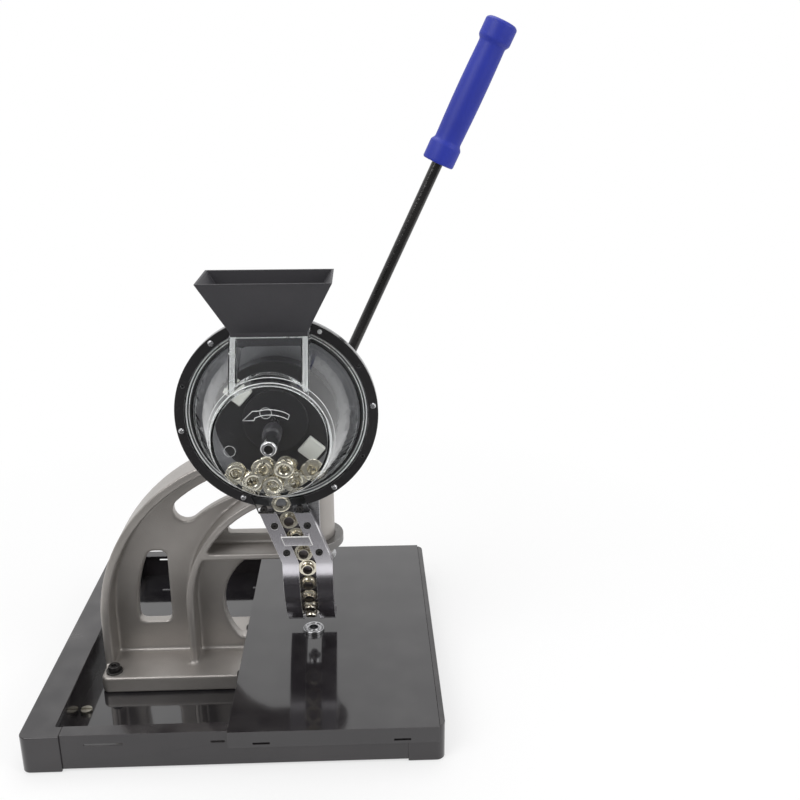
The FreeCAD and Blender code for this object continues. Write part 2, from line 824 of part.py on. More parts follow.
def table_plate():
    """Folded table plate: top, two slotted aprons and a flange down its left edge."""
    across = ("table_left", "table_right")
    pieces = [box("table_top", across, (FRONT, BACK), (PLATE_UNDER, "table_height"))]
    tools = []
    slot_height = ("table_height - apron_slot_drop", "table_height - apron_slot_drop + slot_height")
    for end, outer, inward in front_and_back():
        sheet = end_span(outer, inward, "0", "sheet_thickness")
        height = ("table_height - apron_height", PLATE_UNDER)
        pieces.append(box(f"{end}_apron", across, sheet, height))
        for label, sign in (("left", "+"), ("right", "-")):
            place = f"table_{label} {sign} apron_{label}_slot_place"
            slot = (f"{place} - apron_slot_half", f"{place} + apron_slot_half")
            tools.append(box(f"apron_{end}_{label}_slot", slot, sheet, slot_height))
    flange = ("table_left", "table_left + sheet_thickness")
    inset = "tray_thickness + gap"
    depth = (f"{PANEL_FRONT} + {inset}", f"{PANEL_BACK} - ({inset})")
    pieces.append(box("left_flange", flange, depth, ("table_height - flange_height", PLATE_UNDER)))
    notch = (f"{WEB_FRONT} - web_clearance", f"{WEB_BACK} + web_clearance")
    tools.append(box("web_notch", flange, notch, ("table_height - flange_height", PLATE_UNDER)))
    tools += edge_screw_holes("flange_screw_hole", flange)
    die = ("punch_place", "frame_plane")
    tools.append(rod("die_hole", "lower_die_radius + gap", "Z", (PLATE_UNDER, "table_height"), die))
    return keep("table_plate", cut("table_plate_cut", fuse("table_plate_solid", *pieces), *tools))


def edge_screw_places():
    """Y and Z of the two screws through the table's left flange."""
    height = "table_height - edge_screw_drop"
    return [("frame_plane - front_screw_place", height), (f"{WEB_BACK} + rear_screw_place", height)]


def edge_screw_holes(name, span):
    """Holes for the edge screws through an X span."""
    places = enumerate(edge_screw_places())
    return [rod(f"{name}_{i}", "edge_shank_radius + fit", "X", span, place) for i, place in places]


def table_supports():
    """Bars that carry the table plate: two along its left flange and one near its right edge."""
    left = ("table_left + sheet_thickness", "table_left + sheet_thickness + support_width")
    right = ("table_right - right_support_place", "table_right - right_support_place + support_width")
    foot_front = "frame_plane - rib_width / 2 - gap"
    foot_back = "frame_plane + rib_width / 2 + gap"
    ends = (f"{PANEL_FRONT} + support_inset", f"{PANEL_BACK} - support_inset")
    height = (DECK_TOP, PLATE_UNDER)
    bridge = (f"{WEB_BACK} + web_clearance", foot_back)
    over_foot = box("support_bridge", left, bridge, ("foot_top + gap", PLATE_UNDER))
    rear = fuse("rear_support", box("rear_bar", left, (foot_back, ends[1]), height), over_foot)
    bars = [
        box("front_support", left, (ends[0], foot_front), height),
        rear,
        box("right_support", right, ends, height),
    ]
    drilled = [
        cut(f"drilled_support_{i}", bar, *edge_screw_holes(f"support_screw_hole_{i}", left))
        for i, bar in enumerate(bars[:2])
    ]
    return keep("table_supports", group("table_supports_group", *drilled, bars[2]))


def rubber_feet():
    """Rubber pads under the tray's corners and its middle."""
    places = [("0", "0")] + [
        (x, y)
        for x in (f"{TRAY_LEFT} + foot_pad_inset", f"{TRAY_RIGHT} - foot_pad_inset")
        for y in (f"{FRONT} + foot_pad_inset", f"{BACK} - foot_pad_inset")
    ]
    height = ("0", "feet_height")
    pads = [rod(f"foot_pad_{i}", "foot_pad_radius", "Z", height, place) for i, place in enumerate(places)]
    return keep("rubber_feet", group("rubber_feet_group", *pads))


def table_edge_screws():
    """Button head screws in the table's left flange."""
    screws = [
        cap_screw(
            f"edge_screw_{i}",
            "X",
            "table_left",
            place,
            ("edge_screw_radius", "edge_screw_head"),
            ("edge_shank_radius", "sheet_thickness + support_width"),
            1,
        )
        for i, place in enumerate(edge_screw_places())
    ]
    return keep("table_edge_screws", group("table_edge_screws_group", *screws))


def zinc_catch():
    """Slotted quarter-turn catch in the gutter beside the deck."""
    place = (f"{TRAY_LEFT} + gutter_width / 2", "catch_place")
    stud = rod("catch_stud", "catch_radius", "Z", (FLOOR_TOP, f"{FLOOR_TOP} + catch_height"), place)
    slot = box(
        "catch_slot",
        (f"{place[0]} - catch_radius", f"{place[0]} + catch_radius"),
        ("catch_place - catch_slot_half", "catch_place + catch_slot_half"),
        (f"{FLOOR_TOP} + catch_height - catch_slot_depth", f"{FLOOR_TOP} + catch_height"),
    )
    return keep("zinc_catch", cut("zinc_catch_cut", stud, slot))


# ---------------------------------------------------------------- casting


def arch(name, centre, outer, wall, right):
    """A rib over the upper left quarter of a circle, as far right as a place."""
    depth = (RIB_FRONT, ARCH_BACK)
    ring = tube(f"{name}_ring", outer, f"{outer} - {wall}", "Y", depth, centre)
    height = (centre[1], f"{centre[1]} + {outer}")
    quarter = box(f"{name}_quarter", (f"{centre[0]} - {outer}", right), depth, height)
    return common(name, ring, quarter)


def frame_web():
    """The casting's web, before its openings are cut."""
    left = "outer_arch_centre - outer_arch_radius + outer_arch_wall / 2"
    span = (WEB_FRONT, WEB_BACK)
    disc = rod("web_disc", "outer_arch_radius - outer_arch_wall / 2", "Y", span, OUTER_ARCH)
    top = "outer_arch_height + outer_arch_radius - outer_arch_wall / 2"
    quarter = box("web_quarter", (left, "rib_end"), span, ("outer_arch_height", top))
    return [
        common("web_quarter_disc", disc, quarter),
        box("web_leg", (left, "rib_end"), span, ("foot_top", "outer_arch_height")),
        box("web_arm", ("0", "foot_end"), span, ("foot_top", PLATE_UNDER)),
    ]


def frame_openings():
    """The throat, the two windows and the gusset's triangle."""
    span = (WEB_FRONT, WEB_BACK)
    wide = (f"{RIB_FRONT} - overshoot", f"{RIB_BACK} + overshoot")
    height = (PLATE_UNDER, "band_height")
    throat_end = "foot_end + overshoot"
    throat_disc = rod("throat_disc", "throat_radius", "Y", wide, ("throat_centre", "throat_height"))
    throat_slot = box("throat_slot", ("throat_centre", throat_end), wide, height)
    throat_limit = box("throat_limit", ("throat_centre - throat_radius", throat_end), wide, height)
    throat = common("throat", fuse("throat_shape", throat_disc, throat_slot), throat_limit)
    window_disc = rod("window_disc", "window_radius", "Y", span, OUTER_ARCH)
    window_across = ("outer_arch_centre - window_radius", "window_right")
    window_box = box("window_box", window_across, span, ("window_bottom", "window_top"))
    blank = common("window_blank", window_disc, window_box)
    window = rounded("lower_window", blank, "window_corner", lambda edge: runs_along(edge, 1))
    slot_middle = "(slot_outer_radius + slot_inner_radius) / 2"
    slot_round = "(slot_outer_radius - slot_inner_radius) / 2"
    slot_pieces = [
        sector(
            "upper_slot_arc",
            ("slot_outer_radius", "slot_inner_radius"),
            "-Y from +X up",
            ("slot_first_angle", "slot_last_angle - slot_first_angle"),
            (OUTER_ARCH[0], WEB_BACK, OUTER_ARCH[1]),
            "web_thickness",
        )
    ]
    for label in ("first", "last"):
        across = f"{slot_middle} * cos(slot_{label}_angle)"
        up = f"{slot_middle} * sin(slot_{label}_angle)"
        end = (f"{OUTER_ARCH[0]} + {across}", f"{OUTER_ARCH[1]} + {up}")
        slot_pieces.append(rod(f"upper_slot_{label}_end", slot_round, "Y", span, end))
    gusset_radius = "inner_arch_radius - inner_arch_wall - gusset_arch_wall"
    gusset_disc = rod("gusset_disc", gusset_radius, "Y", span, INNER_ARCH)
    gusset_box = box(
        "gusset_box",
        ("gusset_left", "punch_place - barrel_radius - gusset_barrel_wall"),
        span,
        ("gusset_bottom", "inner_arch_height + inner_arch_radius"),
    )
    gusset = common("gusset", gusset_disc, gusset_box)
    return [throat, window, fuse("upper_slot", *slot_pieces), gusset]


def frame_foot():
    """The casting's foot: a wide pad with cut corners and a narrow part under the table."""
    front = "frame_plane - foot_width / 2"
    back = "frame_plane + foot_width / 2"
    right = "table_left - table_clearance"
    corners = [
        ("foot_left", f"{front} + foot_corner"),
        ("foot_left + foot_corner", front),
        (right, front),
        (right, back),
        ("foot_left + foot_corner", back),
        ("foot_left", f"{back} - foot_corner"),
    ]
    pad = padded("foot_pad", "XY", corners, (DECK_TOP, "foot_top"))
    arm = box("foot_arm", (right, "foot_end"), (RIB_FRONT, RIB_BACK), (DECK_TOP, "foot_top"))
    return [pad, arm]


def c_frame():
    """The cast C-frame: foot, ribs, web with its openings, anvil boss, barrel and pinion boss."""
    punch = ("punch_place", "frame_plane")
    outer_left = f"{OUTER_ARCH[0]} - outer_arch_radius"
    upright = (outer_left, f"{outer_left} + outer_arch_wall")
    inner_left = f"{INNER_ARCH[0]} - inner_arch_radius"
    inner_upright = (inner_left, f"{inner_left} + inner_arch_wall")
    ribs = (RIB_FRONT, ARCH_BACK)
    web = cut("frame_web", fuse("frame_web_solid", *frame_web()), *frame_openings())
    solid = fuse(
        "frame_solid",
        web,
        *frame_foot(),
        arch("outer_arch", OUTER_ARCH, "outer_arch_radius", "outer_arch_wall", "rib_end"),
        box("outer_upright", upright, ribs, ("foot_top", "outer_arch_height")),
        arch("inner_arch", INNER_ARCH, "inner_arch_radius", "inner_arch_wall", "rib_end"),
        box("inner_upright", inner_upright, ribs, ("foot_top", "inner_arch_height")),
        box("band", ("band_left", "rib_end"), ribs, ("band_height", "band_height + band_thickness")),
        rod("anvil_boss", "anvil_radius", "Z", (DECK_TOP, PLATE_UNDER), punch),
        rod("barrel", "barrel_radius", "Z", ("barrel_bottom", "barrel_top"), punch),
        rod("pinion_boss", "pinion_boss_radius", "Y", ("boss_front", "boss_back"), PINION),
    )
    set_screw_place = ("frame_plane", f"{PLATE_UNDER} - lower_shank_length / 2")
    die_seat = (f"{PLATE_UNDER} - lower_shank_length", PLATE_UNDER)
    die_screw_span = ("punch_place", "punch_place + anvil_radius")
    saddle_span = ("frame_plane - barrel_radius", "frame_plane - bore_radius - saddle_screw_wall")
    tools = [
        rod("ram_bore", "bore_radius", "Z", ("barrel_bottom", "barrel_top"), punch),
        rod("bush_bore", "shaft_bush_radius", "Y", ("boss_front", "boss_back"), PINION),
        rod("gear_room", f"{PITCH_RADIUS} + gear_module + gear_tip_room", "Y", gear_room_span(), PINION),
        rod("die_bore", "lower_shank_radius + fit", "Z", die_seat, punch),
        rod("die_screw_hole", "die_screw_radius + fit", "X", die_screw_span, set_screw_place),
        *bolt_holes("foot_bolt_hole", (DECK_TOP, "foot_top")),
        *saddle_screw_holes("barrel_screw_hole", saddle_span),
    ]
    return keep("c_frame", cut("c_frame_cut", solid, *tools))


def foot_bolts():
    """Socket head bolts that hold the casting's foot to the tray."""
    bolts = [
        cap_screw(
            f"foot_bolt_{i}",
            "Z",
            "(foot_top + washer_thickness)",
            place,
            ("bolt_head_radius", "bolt_head_height"),
            ("bolt_radius", "foot_top + washer_thickness - feet_height"),
            -1,
        )
        for i, place in enumerate(foot_bolt_places())
    ]
    return keep("foot_bolts", group("foot_bolts_group", *bolts))


def foot_washers():
    """Washers under the foot bolts' heads."""
    height = ("foot_top", "foot_top + washer_thickness")
    washers = [
        tube(f"foot_washer_{i}", "washer_radius", "bolt_radius + gap", "Z", height, place)
        for i, place in enumerate(foot_bolt_places())
    ]
    return keep("foot_washers", group("foot_washers_group", *washers))


def lower_die():
    """The lower die: shank in the anvil, raised face with a rolling groove and a pilot hole."""
    face = "lower_die_rise + sheet_thickness"
    profile = [
        ("0", "-lower_shank_length"),
        ("lower_shank_radius", "-lower_shank_length"),
        ("lower_shank_radius", "0"),
        ("lower_die_radius", "0"),
        ("lower_die_radius", f"{face} - lower_die_chamfer"),
        ("lower_die_radius - lower_die_chamfer", face),
        ("lower_die_radius - groove_rim", face),
        ("lower_die_radius - groove_rim - groove_outer_slope", f"{face} - groove_depth"),
        ("lower_bore_radius + groove_lip + groove_inner_slope", f"{face} - groove_depth"),
        ("lower_bore_radius + groove_lip", face),
        ("lower_bore_radius", face),
        ("lower_bore_radius", "-lower_bore_depth"),
        ("0", "-lower_bore_depth"),
    ]
    punch = ("punch_place", "frame_plane")
    return keep("lower_die", turned("lower_die_body", "Z", profile, punch, PLATE_UNDER))


def frame_set_screw():
    """Grub screw in the anvil that holds the lower die."""
    place = ("frame_plane", f"{PLATE_UNDER} - lower_shank_length / 2")
    span = ("punch_place + lower_shank_radius + gap", "punch_place + anvil_radius - die_screw_sink")
    stud = rod("die_grub_stud", "die_screw_radius", "X", span, place)
    socket_span = (f"{span[1]} - grub_socket_depth", span[1])
    socket = hexagon("die_grub_socket", "grub_socket_radius", "X", socket_span, place)
    return keep("die_grub_screw", cut("die_grub_screw_cut", stud, socket))


# ---------------------------------------------------------------- head


def ram_bushes():
    """Bronze bushes at both ends of the barrel."""
    punch = ("punch_place", "frame_plane")
    outer = "bore_radius - fit"
    lower = tube("lower_bush", outer, "stem_radius + fit", "Z", ("barrel_bottom", BUSH_TOP), punch)
    upper_span = ("barrel_top - upper_bush_length", "barrel_top")
    upper = tube("upper_bush", outer, "ram_radius + fit", "Z", upper_span, punch)
    return keep("ram_bushes", group("ram_bushes_group", lower, upper))


def pinion_bushes():
    """Bushes for the pinion shaft, in front of the pinion and behind it."""
    outer = "shaft_bush_radius - fit"
    front_end, back_start = gear_room_span()
    rings = [
        tube(f"pinion_bush_{i}", outer, "shaft_radius + fit", "Y", span, PINION)
        for i, span in enumerate((("boss_front", front_end), (back_start, "boss_back")))
    ]
    return keep("pinion_bushes", group("pinion_bushes_group", *rings))


def head_cap():
    """Cap that closes the barrel."""
    punch = ("punch_place", "frame_plane")
    top = "barrel_top + cap_thickness"
    disc = rod("cap_disc", "barrel_radius", "Z", ("barrel_top", top), punch)
    socket = hexagon("cap_socket", "cap_socket_radius", "Z", (f"{top} - cap_socket_depth", top), punch)
    return keep("head_cap", cut("head_cap_cut", disc, socket))


def return_spring():
    """Compression spring between the lower bush and the ram's shoulder, of tilted half rings."""
    low = f"{BUSH_TOP} + spring_wire / 2"
    half_pitch = "((ram_shoulder - spring_wire / 2 - (" + low + ")) / (2 * spring_turns))"
    radius = "((stem_radius + bore_radius) / 2)"
    tilt = math.degrees(math.atan(value(half_pitch) / 2 / value(radius)))
    halves = []
    for i in range(2 * int(value("spring_turns"))):
        item = DOC.addObject("Part::Torus", f"spring_half_{i}")
        bind(item, Radius1=f"sqrt({radius} ^ 2 + ({half_pitch} / 2) ^ 2)", Radius2="spring_wire / 2")
        item.Angle3 = 180
        # Each half ring starts where the last one ended, and climbs by half a pitch.
        start = FreeCAD.Rotation(FreeCAD.Vector(0, 0, 1), 180 * (i % 2))
        turn = FreeCAD.Rotation(FreeCAD.Vector(0, 1, 0), tilt if i % 2 == 0 else -tilt) * start
        place = ("punch_place", "frame_plane", f"{low} + {half_pitch} * {i + 0.5}")
        halves.append(seat(item, place, turn))
    return keep("return_spring", fuse("return_spring_coil", *halves))


def barrel_collar():
    """Open collar round the lower end of the barrel, clear of the casting's band."""
    place = ("punch_place", "frame_plane", "collar_bottom")
    angles = ("collar_first_angle", "collar_sweep_angle")
    radii = ("collar_radius", "barrel_radius + fit")
    ring = sector("collar_ring", radii, "+Z from +X", angles, place, "collar_height")
    return keep("barrel_collar", ring)


def hinge_span():
    """Z span of the hinge saddle."""
    return ("hinge_height - saddle_height / 2", "hinge_height + saddle_height / 2")


def saddle_screw_places():
    """X and Z of the two screws that hold the saddle."""
    return [(f"punch_place {side} saddle_screw_offset", "hinge_height") for side in "-+"]


def saddle_screw_holes(name, span, radius="saddle_screw_radius"):
    """Holes for the two saddle screws or their heads through a Y span."""
    places = enumerate(saddle_screw_places())
    return [rod(f"{name}_{i}", f"{radius} + fit", "Y", span, place) for i, place in places]


def hinge_saddle():
    """Saddle on the barrel's front with two ears for the feeder's hinge pin."""
    half = "(knuckle_width / 2 + gap + ear_thickness)"
    front = SADDLE_FRONT
    across = (f"punch_place - {half}", f"punch_place + {half}")
    block = box("saddle_block", across, (front, "frame_plane - bore_radius"), hinge_span())
    ears = []
    for i, side in enumerate("-+"):
        span = (f"punch_place {side} ({half} - ear_thickness)", f"punch_place {side} {half}")
        span = span if side == "+" else span[::-1]
        ears.append(box(f"saddle_ear_{i}", span, ("hinge_plane - knuckle_radius", front), hinge_span()))
    seat_cut = rod("saddle_seat", "barrel_radius + fit", "Z", hinge_span(), ("punch_place", "frame_plane"))
    pin = rod("saddle_pin_hole", "hinge_pin_radius + fit", "X", across, ("hinge_plane", "hinge_height"))
    screws = saddle_screw_holes("saddle_screw_hole", (front, "frame_plane - bore_radius"))
    head_span = (front, f"{front} + saddle_head_height")
    heads = saddle_screw_holes("saddle_head_room", head_span, "saddle_head_radius")
    solid = fuse("saddle_solid", block, *ears)
    return keep("hinge_saddle", cut("hinge_saddle_cut", solid, seat_cut, pin, *screws, *heads))


def saddle_screws():
    """Sunk screws that hold the saddle to the barrel."""
    head_seat = f"({SADDLE_FRONT} + saddle_head_height)"
    head = ("saddle_head_radius", "saddle_head_height")
    shank = ("saddle_screw_radius", f"frame_plane - bore_radius - saddle_screw_wall - {head_seat}")
    screws = [
        cap_screw(f"saddle_screw_{i}", "Y", head_seat, place, head, shank, 1)
        for i, place in enumerate(saddle_screw_places())
    ]
    return keep("saddle_screws", group("saddle_screws_group", *screws))


def feeder_hinge_pin():
    """Pin on which the whole feeder tilts."""
    half = "(knuckle_width / 2 + gap + ear_thickness + pin_overhang)"
    span = (f"punch_place - {half}", f"punch_place + {half}")
    pin = rod("hinge_pin_rod", "hinge_pin_radius", "X", span, ("hinge_plane", "hinge_height"))
    return keep("feeder_hinge_pin", pin)


# ---------------------------------------------------------------- pinion and lever


def gear_span():
    """Y span of the pinion's teeth."""
    return ("frame_plane - pinion_width / 2", "frame_plane + pinion_width / 2")


def gear_room_span():
    """Y span of the room for the pinion's teeth, between its bushes."""
    front, back = gear_span()
    return (f"{front} - gear_side_room", f"{back} + gear_side_room")


def gear_tooth(root, tip, module):
    """Corners of one straight-sided tooth as (distance along the pitch line, height)."""
    right = [
        (TOOTH_HALF_ROOT * module, root - TOOTH_SINK * module),
        (TOOTH_HALF_FOOT * module, root),
        (TOOTH_HALF_TIP * module, tip),
    ]
    return right + [(-side, height) for side, height in reversed(right)]


def pinion_shaft():
    """Shaft with the pinion's teeth cut on it."""
    module = value("gear_module")
    teeth = int(round(value("pinion_teeth")))
    pitch_radius = module * teeth / 2
    root = pitch_radius - ROOT_DEPTH * module
    tip = pitch_radius + TIP_HEIGHT * module
    low, high = (value(text) for text in gear_span())
    solid = Part.makeCylinder(root, high - low, FreeCAD.Vector(0, low, 0), FreeCAD.Vector(0, 1, 0))
    for number in range(teeth):
        points = [FreeCAD.Vector(side, low, height) for side, height in gear_tooth(root, tip, module)]
        tooth = Part.Face(Part.makePolygon(points + points[:1])).extrude(FreeCAD.Vector(0, high - low, 0))
        # A tooth points at the rack, so a gap between two rack teeth has it at its middle.
        tooth.rotate(FreeCAD.Vector(), FreeCAD.Vector(0, 1, 0), 90 + number * 360 / teeth)
        solid = solid.fuse(tooth)
    gear = DOC.addObject("Part::Feature", "pinion_gear")
    gear.Shape = solid.removeSplitter()
    gear.Placement = FreeCAD.Placement(
        FreeCAD.Vector(value(PINION_PLACE), 0, value("pinion_height")), FreeCAD.Rotation()
    )
    shaft_span = ("boss_front + shaft_setback", "lever_plane + hub_width / 2 + shaft_overhang")
    shaft = rod("pinion_rod", "shaft_radius", "Y", shaft_span, PINION)
    return keep("pinion_shaft", fuse("pinion_shaft_solid", gear, shaft))


def on_lever(item):
    """Put a piece that is drawn upright about the pinion's axis at the lever's rest angle."""
    turn = FreeCAD.Rotation(FreeCAD.Vector(0, 1, 0), value("lever_angle"))
    item.Placement = FreeCAD.Placement(FreeCAD.Vector(), turn)
    item.setExpression("Placement.Rotation.Angle", sheet_text("lever_angle"))
    item.setExpression("Placement.Base.x", sheet_text(PINION_PLACE))
    item.setExpression("Placement.Base.y", sheet_text("lever_plane"))
    item.setExpression("Placement.Base.z", sheet_text("pinion_height"))
    return item


# Where the screw that holds the rod stands, seen from the hub's middle.
ROD_SCREW = ("0", "socket_reach - hub_screw_drop")


def lever_hub():
    """Hub on the shaft with a socket for the rod."""
    width = ("-hub_width / 2", "hub_width / 2")
    solid = fuse(
        "hub_solid",
        rod("hub_disc", "hub_radius", "Y", width, ("0", "0")),
        rod("hub_socket", "socket_radius", "Z", ("0", "socket_reach"), ("0", "0")),
    )
    wall = ("shaft_radius", "hub_radius")
    tools = [
        rod("hub_bore", "shaft_radius + fit", "Y", width, ("0", "0")),
        rod("hub_rod_hole", "rod_radius + fit", "Z", ("rod_start - fit", "socket_reach"), ("0", "0")),
        rod("hub_screw_hole", "hub_screw_radius + fit", "Y", ("0", "socket_radius"), ROD_SCREW),
        rod("hub_shaft_screw_hole", "hub_screw_radius + fit", "X", wall, ("0", "0")),
    ]
    return keep("lever_hub", on_lever(cut("lever_hub_cut", solid, *tools)))


def hub_set_screws():
    """Grub screws that hold the hub on the shaft and the rod in the hub."""
    rod_span = ("rod_radius + fit", "socket_radius - hub_screw_sink")
    shaft_span = ("shaft_radius + fit", "hub_radius - hub_screw_sink")
    rod_screw = rod("rod_grub", "hub_screw_radius", "Y", rod_span, ROD_SCREW)
    shaft_screw = rod("shaft_grub", "hub_screw_radius", "X", shaft_span, ("0", "0"))
    return keep("hub_set_screws", on_lever(group("hub_set_screws_group", rod_screw, shaft_screw)))


def lever_rod():
    """The lever's rod, from the hub to the top of the grip."""
    return keep("lever_rod", on_lever(cut_rod()))


def cut_rod():
    """The rod with chamfered ends."""
    end = "grip_start + grip_length - grip_end_wall"
    profile = [
        ("0", "rod_start"),
        ("rod_radius - rod_chamfer", "rod_start"),
        ("rod_radius", "rod_start + rod_chamfer"),
        ("rod_radius", f"{end} - rod_chamfer"),
        ("rod_radius - rod_chamfer", end),
        ("0", end),
    ]
    return turned("lever_rod_body", "Z", profile, ("0", "0"))


def lever_grip():
    """Plastic grip: two collars, a waisted middle and a closed top."""
    top = "grip_start + grip_length"
    hole = "rod_radius + fit"
    depth = f"{top} - grip_end_wall + fit"
    profile = [
        (hole, "grip_start"),
        ("grip_radius - grip_lip", "grip_start"),
        ("grip_radius", "grip_start + grip_lip_length"),
        ("grip_radius", "grip_start + grip_collar_length"),
        ("grip_waist_radius", "grip_start + grip_collar_length + grip_neck_length"),
        ("grip_waist_radius + grip_belly", "grip_start + grip_length / 2"),
        ("grip_waist_radius", f"{top} - grip_collar_length - grip_neck_length"),
        ("grip_radius", f"{top} - grip_collar_length"),
        ("grip_radius", f"{top} - grip_crown"),
        ("grip_radius - grip_crown", top),
        ("0", top),
        ("0", depth),
        (hole, depth),
    ]
    return keep("lever_grip", on_lever(turned("lever_grip_body", "Z", profile, ("0", "0"))))


def shaft_collar():
    """Collar that keeps the shaft from sliding out, behind the hub."""
    start = "lever_plane + hub_width / 2 + fit"
    radii = ("shaft_radius + shaft_collar_wall", "shaft_radius + fit")
    ring = tube("shaft_collar_ring", *radii, "Y", (start, f"{start} + shaft_collar_width"), PINION)
    return keep("shaft_collar", ring)


# ---------------------------------------------------------------- ram


# Y and Z of the screw that holds the upper die.
RAM_SCREW = ("frame_plane", "ram_bottom + ram_screw_rise")


def ram():
    """The ram: stem, rack part with its teeth, and a bore for the upper die's shank."""
    punch = ("punch_place", "frame_plane")
    profile = [
        ("0", "ram_bottom"),
        ("stem_radius", "ram_bottom"),
        ("stem_radius", "ram_shoulder"),
        ("ram_radius", "ram_shoulder"),
        ("ram_radius", "ram_top - ram_chamfer"),
        ("ram_radius - ram_chamfer", "ram_top"),
        ("0", "ram_top"),
    ]
    blank = turned("ram_blank", "Z", profile, punch)
    module = value("gear_module")
    pitch = math.pi * module
    pitch_line = value("punch_place - rack_offset")
    low = value("pinion_height") - RACK_END_PITCHES * pitch
    high = value("pinion_height + stroke") + RACK_END_PITCHES * pitch
    tip = pitch_line - TIP_HEIGHT * module
    root = pitch_line + ROOT_DEPTH * module
    depth = value("2 * ram_radius")
    front = value("frame_plane - ram_radius")
    outside = value("punch_place - ram_radius - overshoot")
    tool = Part.makeBox(tip - outside, depth, high - low, FreeCAD.Vector(outside, front, low))
    # A gap faces the pinion's tooth at rest, at the height of the pinion's axis.
    first = math.ceil((low + pitch / 2 - value("pinion_height")) / pitch)
    last = math.floor((high - pitch / 2 - value("pinion_height")) / pitch)
    for number in range(first, last + 1):
        middle = value("pinion_height") + number * pitch
        points = [
            FreeCAD.Vector(side, front, middle + sign * half * module)
            for side, sign, half in (
                (tip - GAP_OVERLAP * module, -1, GAP_HALF_TOP),
                (root, -1, GAP_HALF_ROOT),
                (root, 1, GAP_HALF_ROOT),
                (tip - GAP_OVERLAP * module, 1, GAP_HALF_TOP),
            )
        ]
        gap_face = Part.Face(Part.makePolygon(points + points[:1]))
        tool = tool.fuse(gap_face.extrude(FreeCAD.Vector(0, depth, 0)))
    teeth = DOC.addObject("Part::Feature", "rack_teeth")
    teeth.Shape = tool
    bore_span = ("ram_bottom", "ram_bottom + shank_length + shank_room")
    die_bore = rod("ram_die_bore", "shank_radius + fit", "Z", bore_span, punch)
    screw_span = ("punch_place", "punch_place + stem_radius")
    screw = rod("ram_screw_hole", "ram_screw_radius + fit", "X", screw_span, RAM_SCREW)
    return keep("ram", cut("ram_cut", blank, teeth, die_bore, screw))


def cam_cone():
    """Cone on the stem that pushes the feeder away as the ram comes down."""
    punch = ("punch_place", "frame_plane")
    span = ("cone_bottom", "cone_bottom + cone_height")
    radii = ("cone_small_radius", "cone_small_radius + cone_height * cone_slope")
    solid = cone("cone_solid", radii, "Z", span, punch)
    bore = rod("cone_bore", "stem_radius + fit", "Z", span, punch)
    return keep("cam_cone", cut("cam_cone_cut", solid, bore))


def upper_die():
    """Upper die: nose with a pilot bore, flange and shank."""
    profile = [
        ("pilot_radius + fit", "die_face"),
        ("die_nose_radius - die_nose_chamfer", "die_face"),
        ("die_nose_radius", "die_face + die_nose_chamfer"),
        ("die_nose_radius", "ram_bottom - die_flange_height"),
        ("die_flange_radius", "ram_bottom - die_flange_height"),
        ("die_flange_radius", "ram_bottom"),
        ("shank_radius", "ram_bottom"),
        ("shank_radius", "ram_bottom + shank_length"),
        ("0", "ram_bottom + shank_length"),
        ("0", "die_face + pilot_seat_depth"),
        ("pilot_radius + fit", "die_face + pilot_seat_depth"),
    ]
    return keep("upper_die", turned("upper_die_body", "Z", profile, ("punch_place", "frame_plane")))


def pilot_pin():
    """Pilot pin with a rounded tip, in the upper die's nose."""
    low = "die_face - pilot_drop"
    profile = [
        ("0", low),
        ("pilot_tip_radius", f"{low} + pilot_tip_rise"),
        ("pilot_shoulder_radius", f"{low} + pilot_shoulder_rise"),
        ("pilot_radius", f"{low} + pilot_tip_length"),
        ("pilot_radius", "die_face + pilot_seat_depth - fit"),
        ("0", "die_face + pilot_seat_depth - fit"),
    ]
    return keep("pilot_pin", turned("pilot_pin_body", "Z", profile, ("punch_place", "frame_plane")))


def upper_die_screw():
    """Grub screw that holds the upper die's shank in the ram."""
    span = ("punch_place + shank_radius + fit", "punch_place + stem_radius - ram_screw_sink")
    return keep("upper_die_screw", rod("upper_die_grub", "ram_screw_radius", "X", span, RAM_SCREW))


# ---------------------------------------------------------------- chute


def leaning(name, low, high, along_y, along_z):
    """A slab between two X offsets from the chute's middle, which leans as the chute does."""
    start = f"(punch_place - tan(chute_lean_angle) * (({along_z[0]}) - chute_kink))"
    end = f"(punch_place - tan(chute_lean_angle) * (({along_z[1]}) - chute_kink))"
    low_x = (f"{start} + ({low})", f"{start} + ({high})")
    high_x = (f"{end} + ({low})", f"{end} + ({high})")
    return wedge(name, low_x, high_x, along_y, along_y, along_z)


def bent(name, low, high, radii, angles=("0", "chute_bend_angle")):
    """A slab between two X offsets that follows the chute's bend between two radii."""
    place = (f"punch_place + ({low})", *CHUTE_CENTRE)
    return sector(name, radii, "+X from -Y down", angles, place, f"({high}) - ({low})")


def chute_slab(name, low, high, depths):
    """A slab along the whole chute, between two depths behind its face."""
    along_y = (f"{CHUTE_FACE} + ({depths[0]})", f"{CHUTE_FACE} + ({depths[1]})")
    radii = (f"chute_radius - ({depths[0]})", f"chute_radius - ({depths[1]})")
    upper = leaning(f"{name}_upper", low, high, along_y, ("chute_kink", CHUTE_TOP))
    return fuse(name, upper, bent(f"{name}_lower", low, high, radii))


def chute_screw_places():
    """X and Z of the four screws through the chute's straight part."""
    places = []
    for share in CHUTE_SCREW_SHARES:
        height = f"(chute_kink + chute_rise * {share})"
        middle = f"(punch_place - tan(chute_lean_angle) * ({height} - chute_kink))"
        places += [(f"{middle} {side} chute_screw_offset", height) for side in "-+"]
    return places


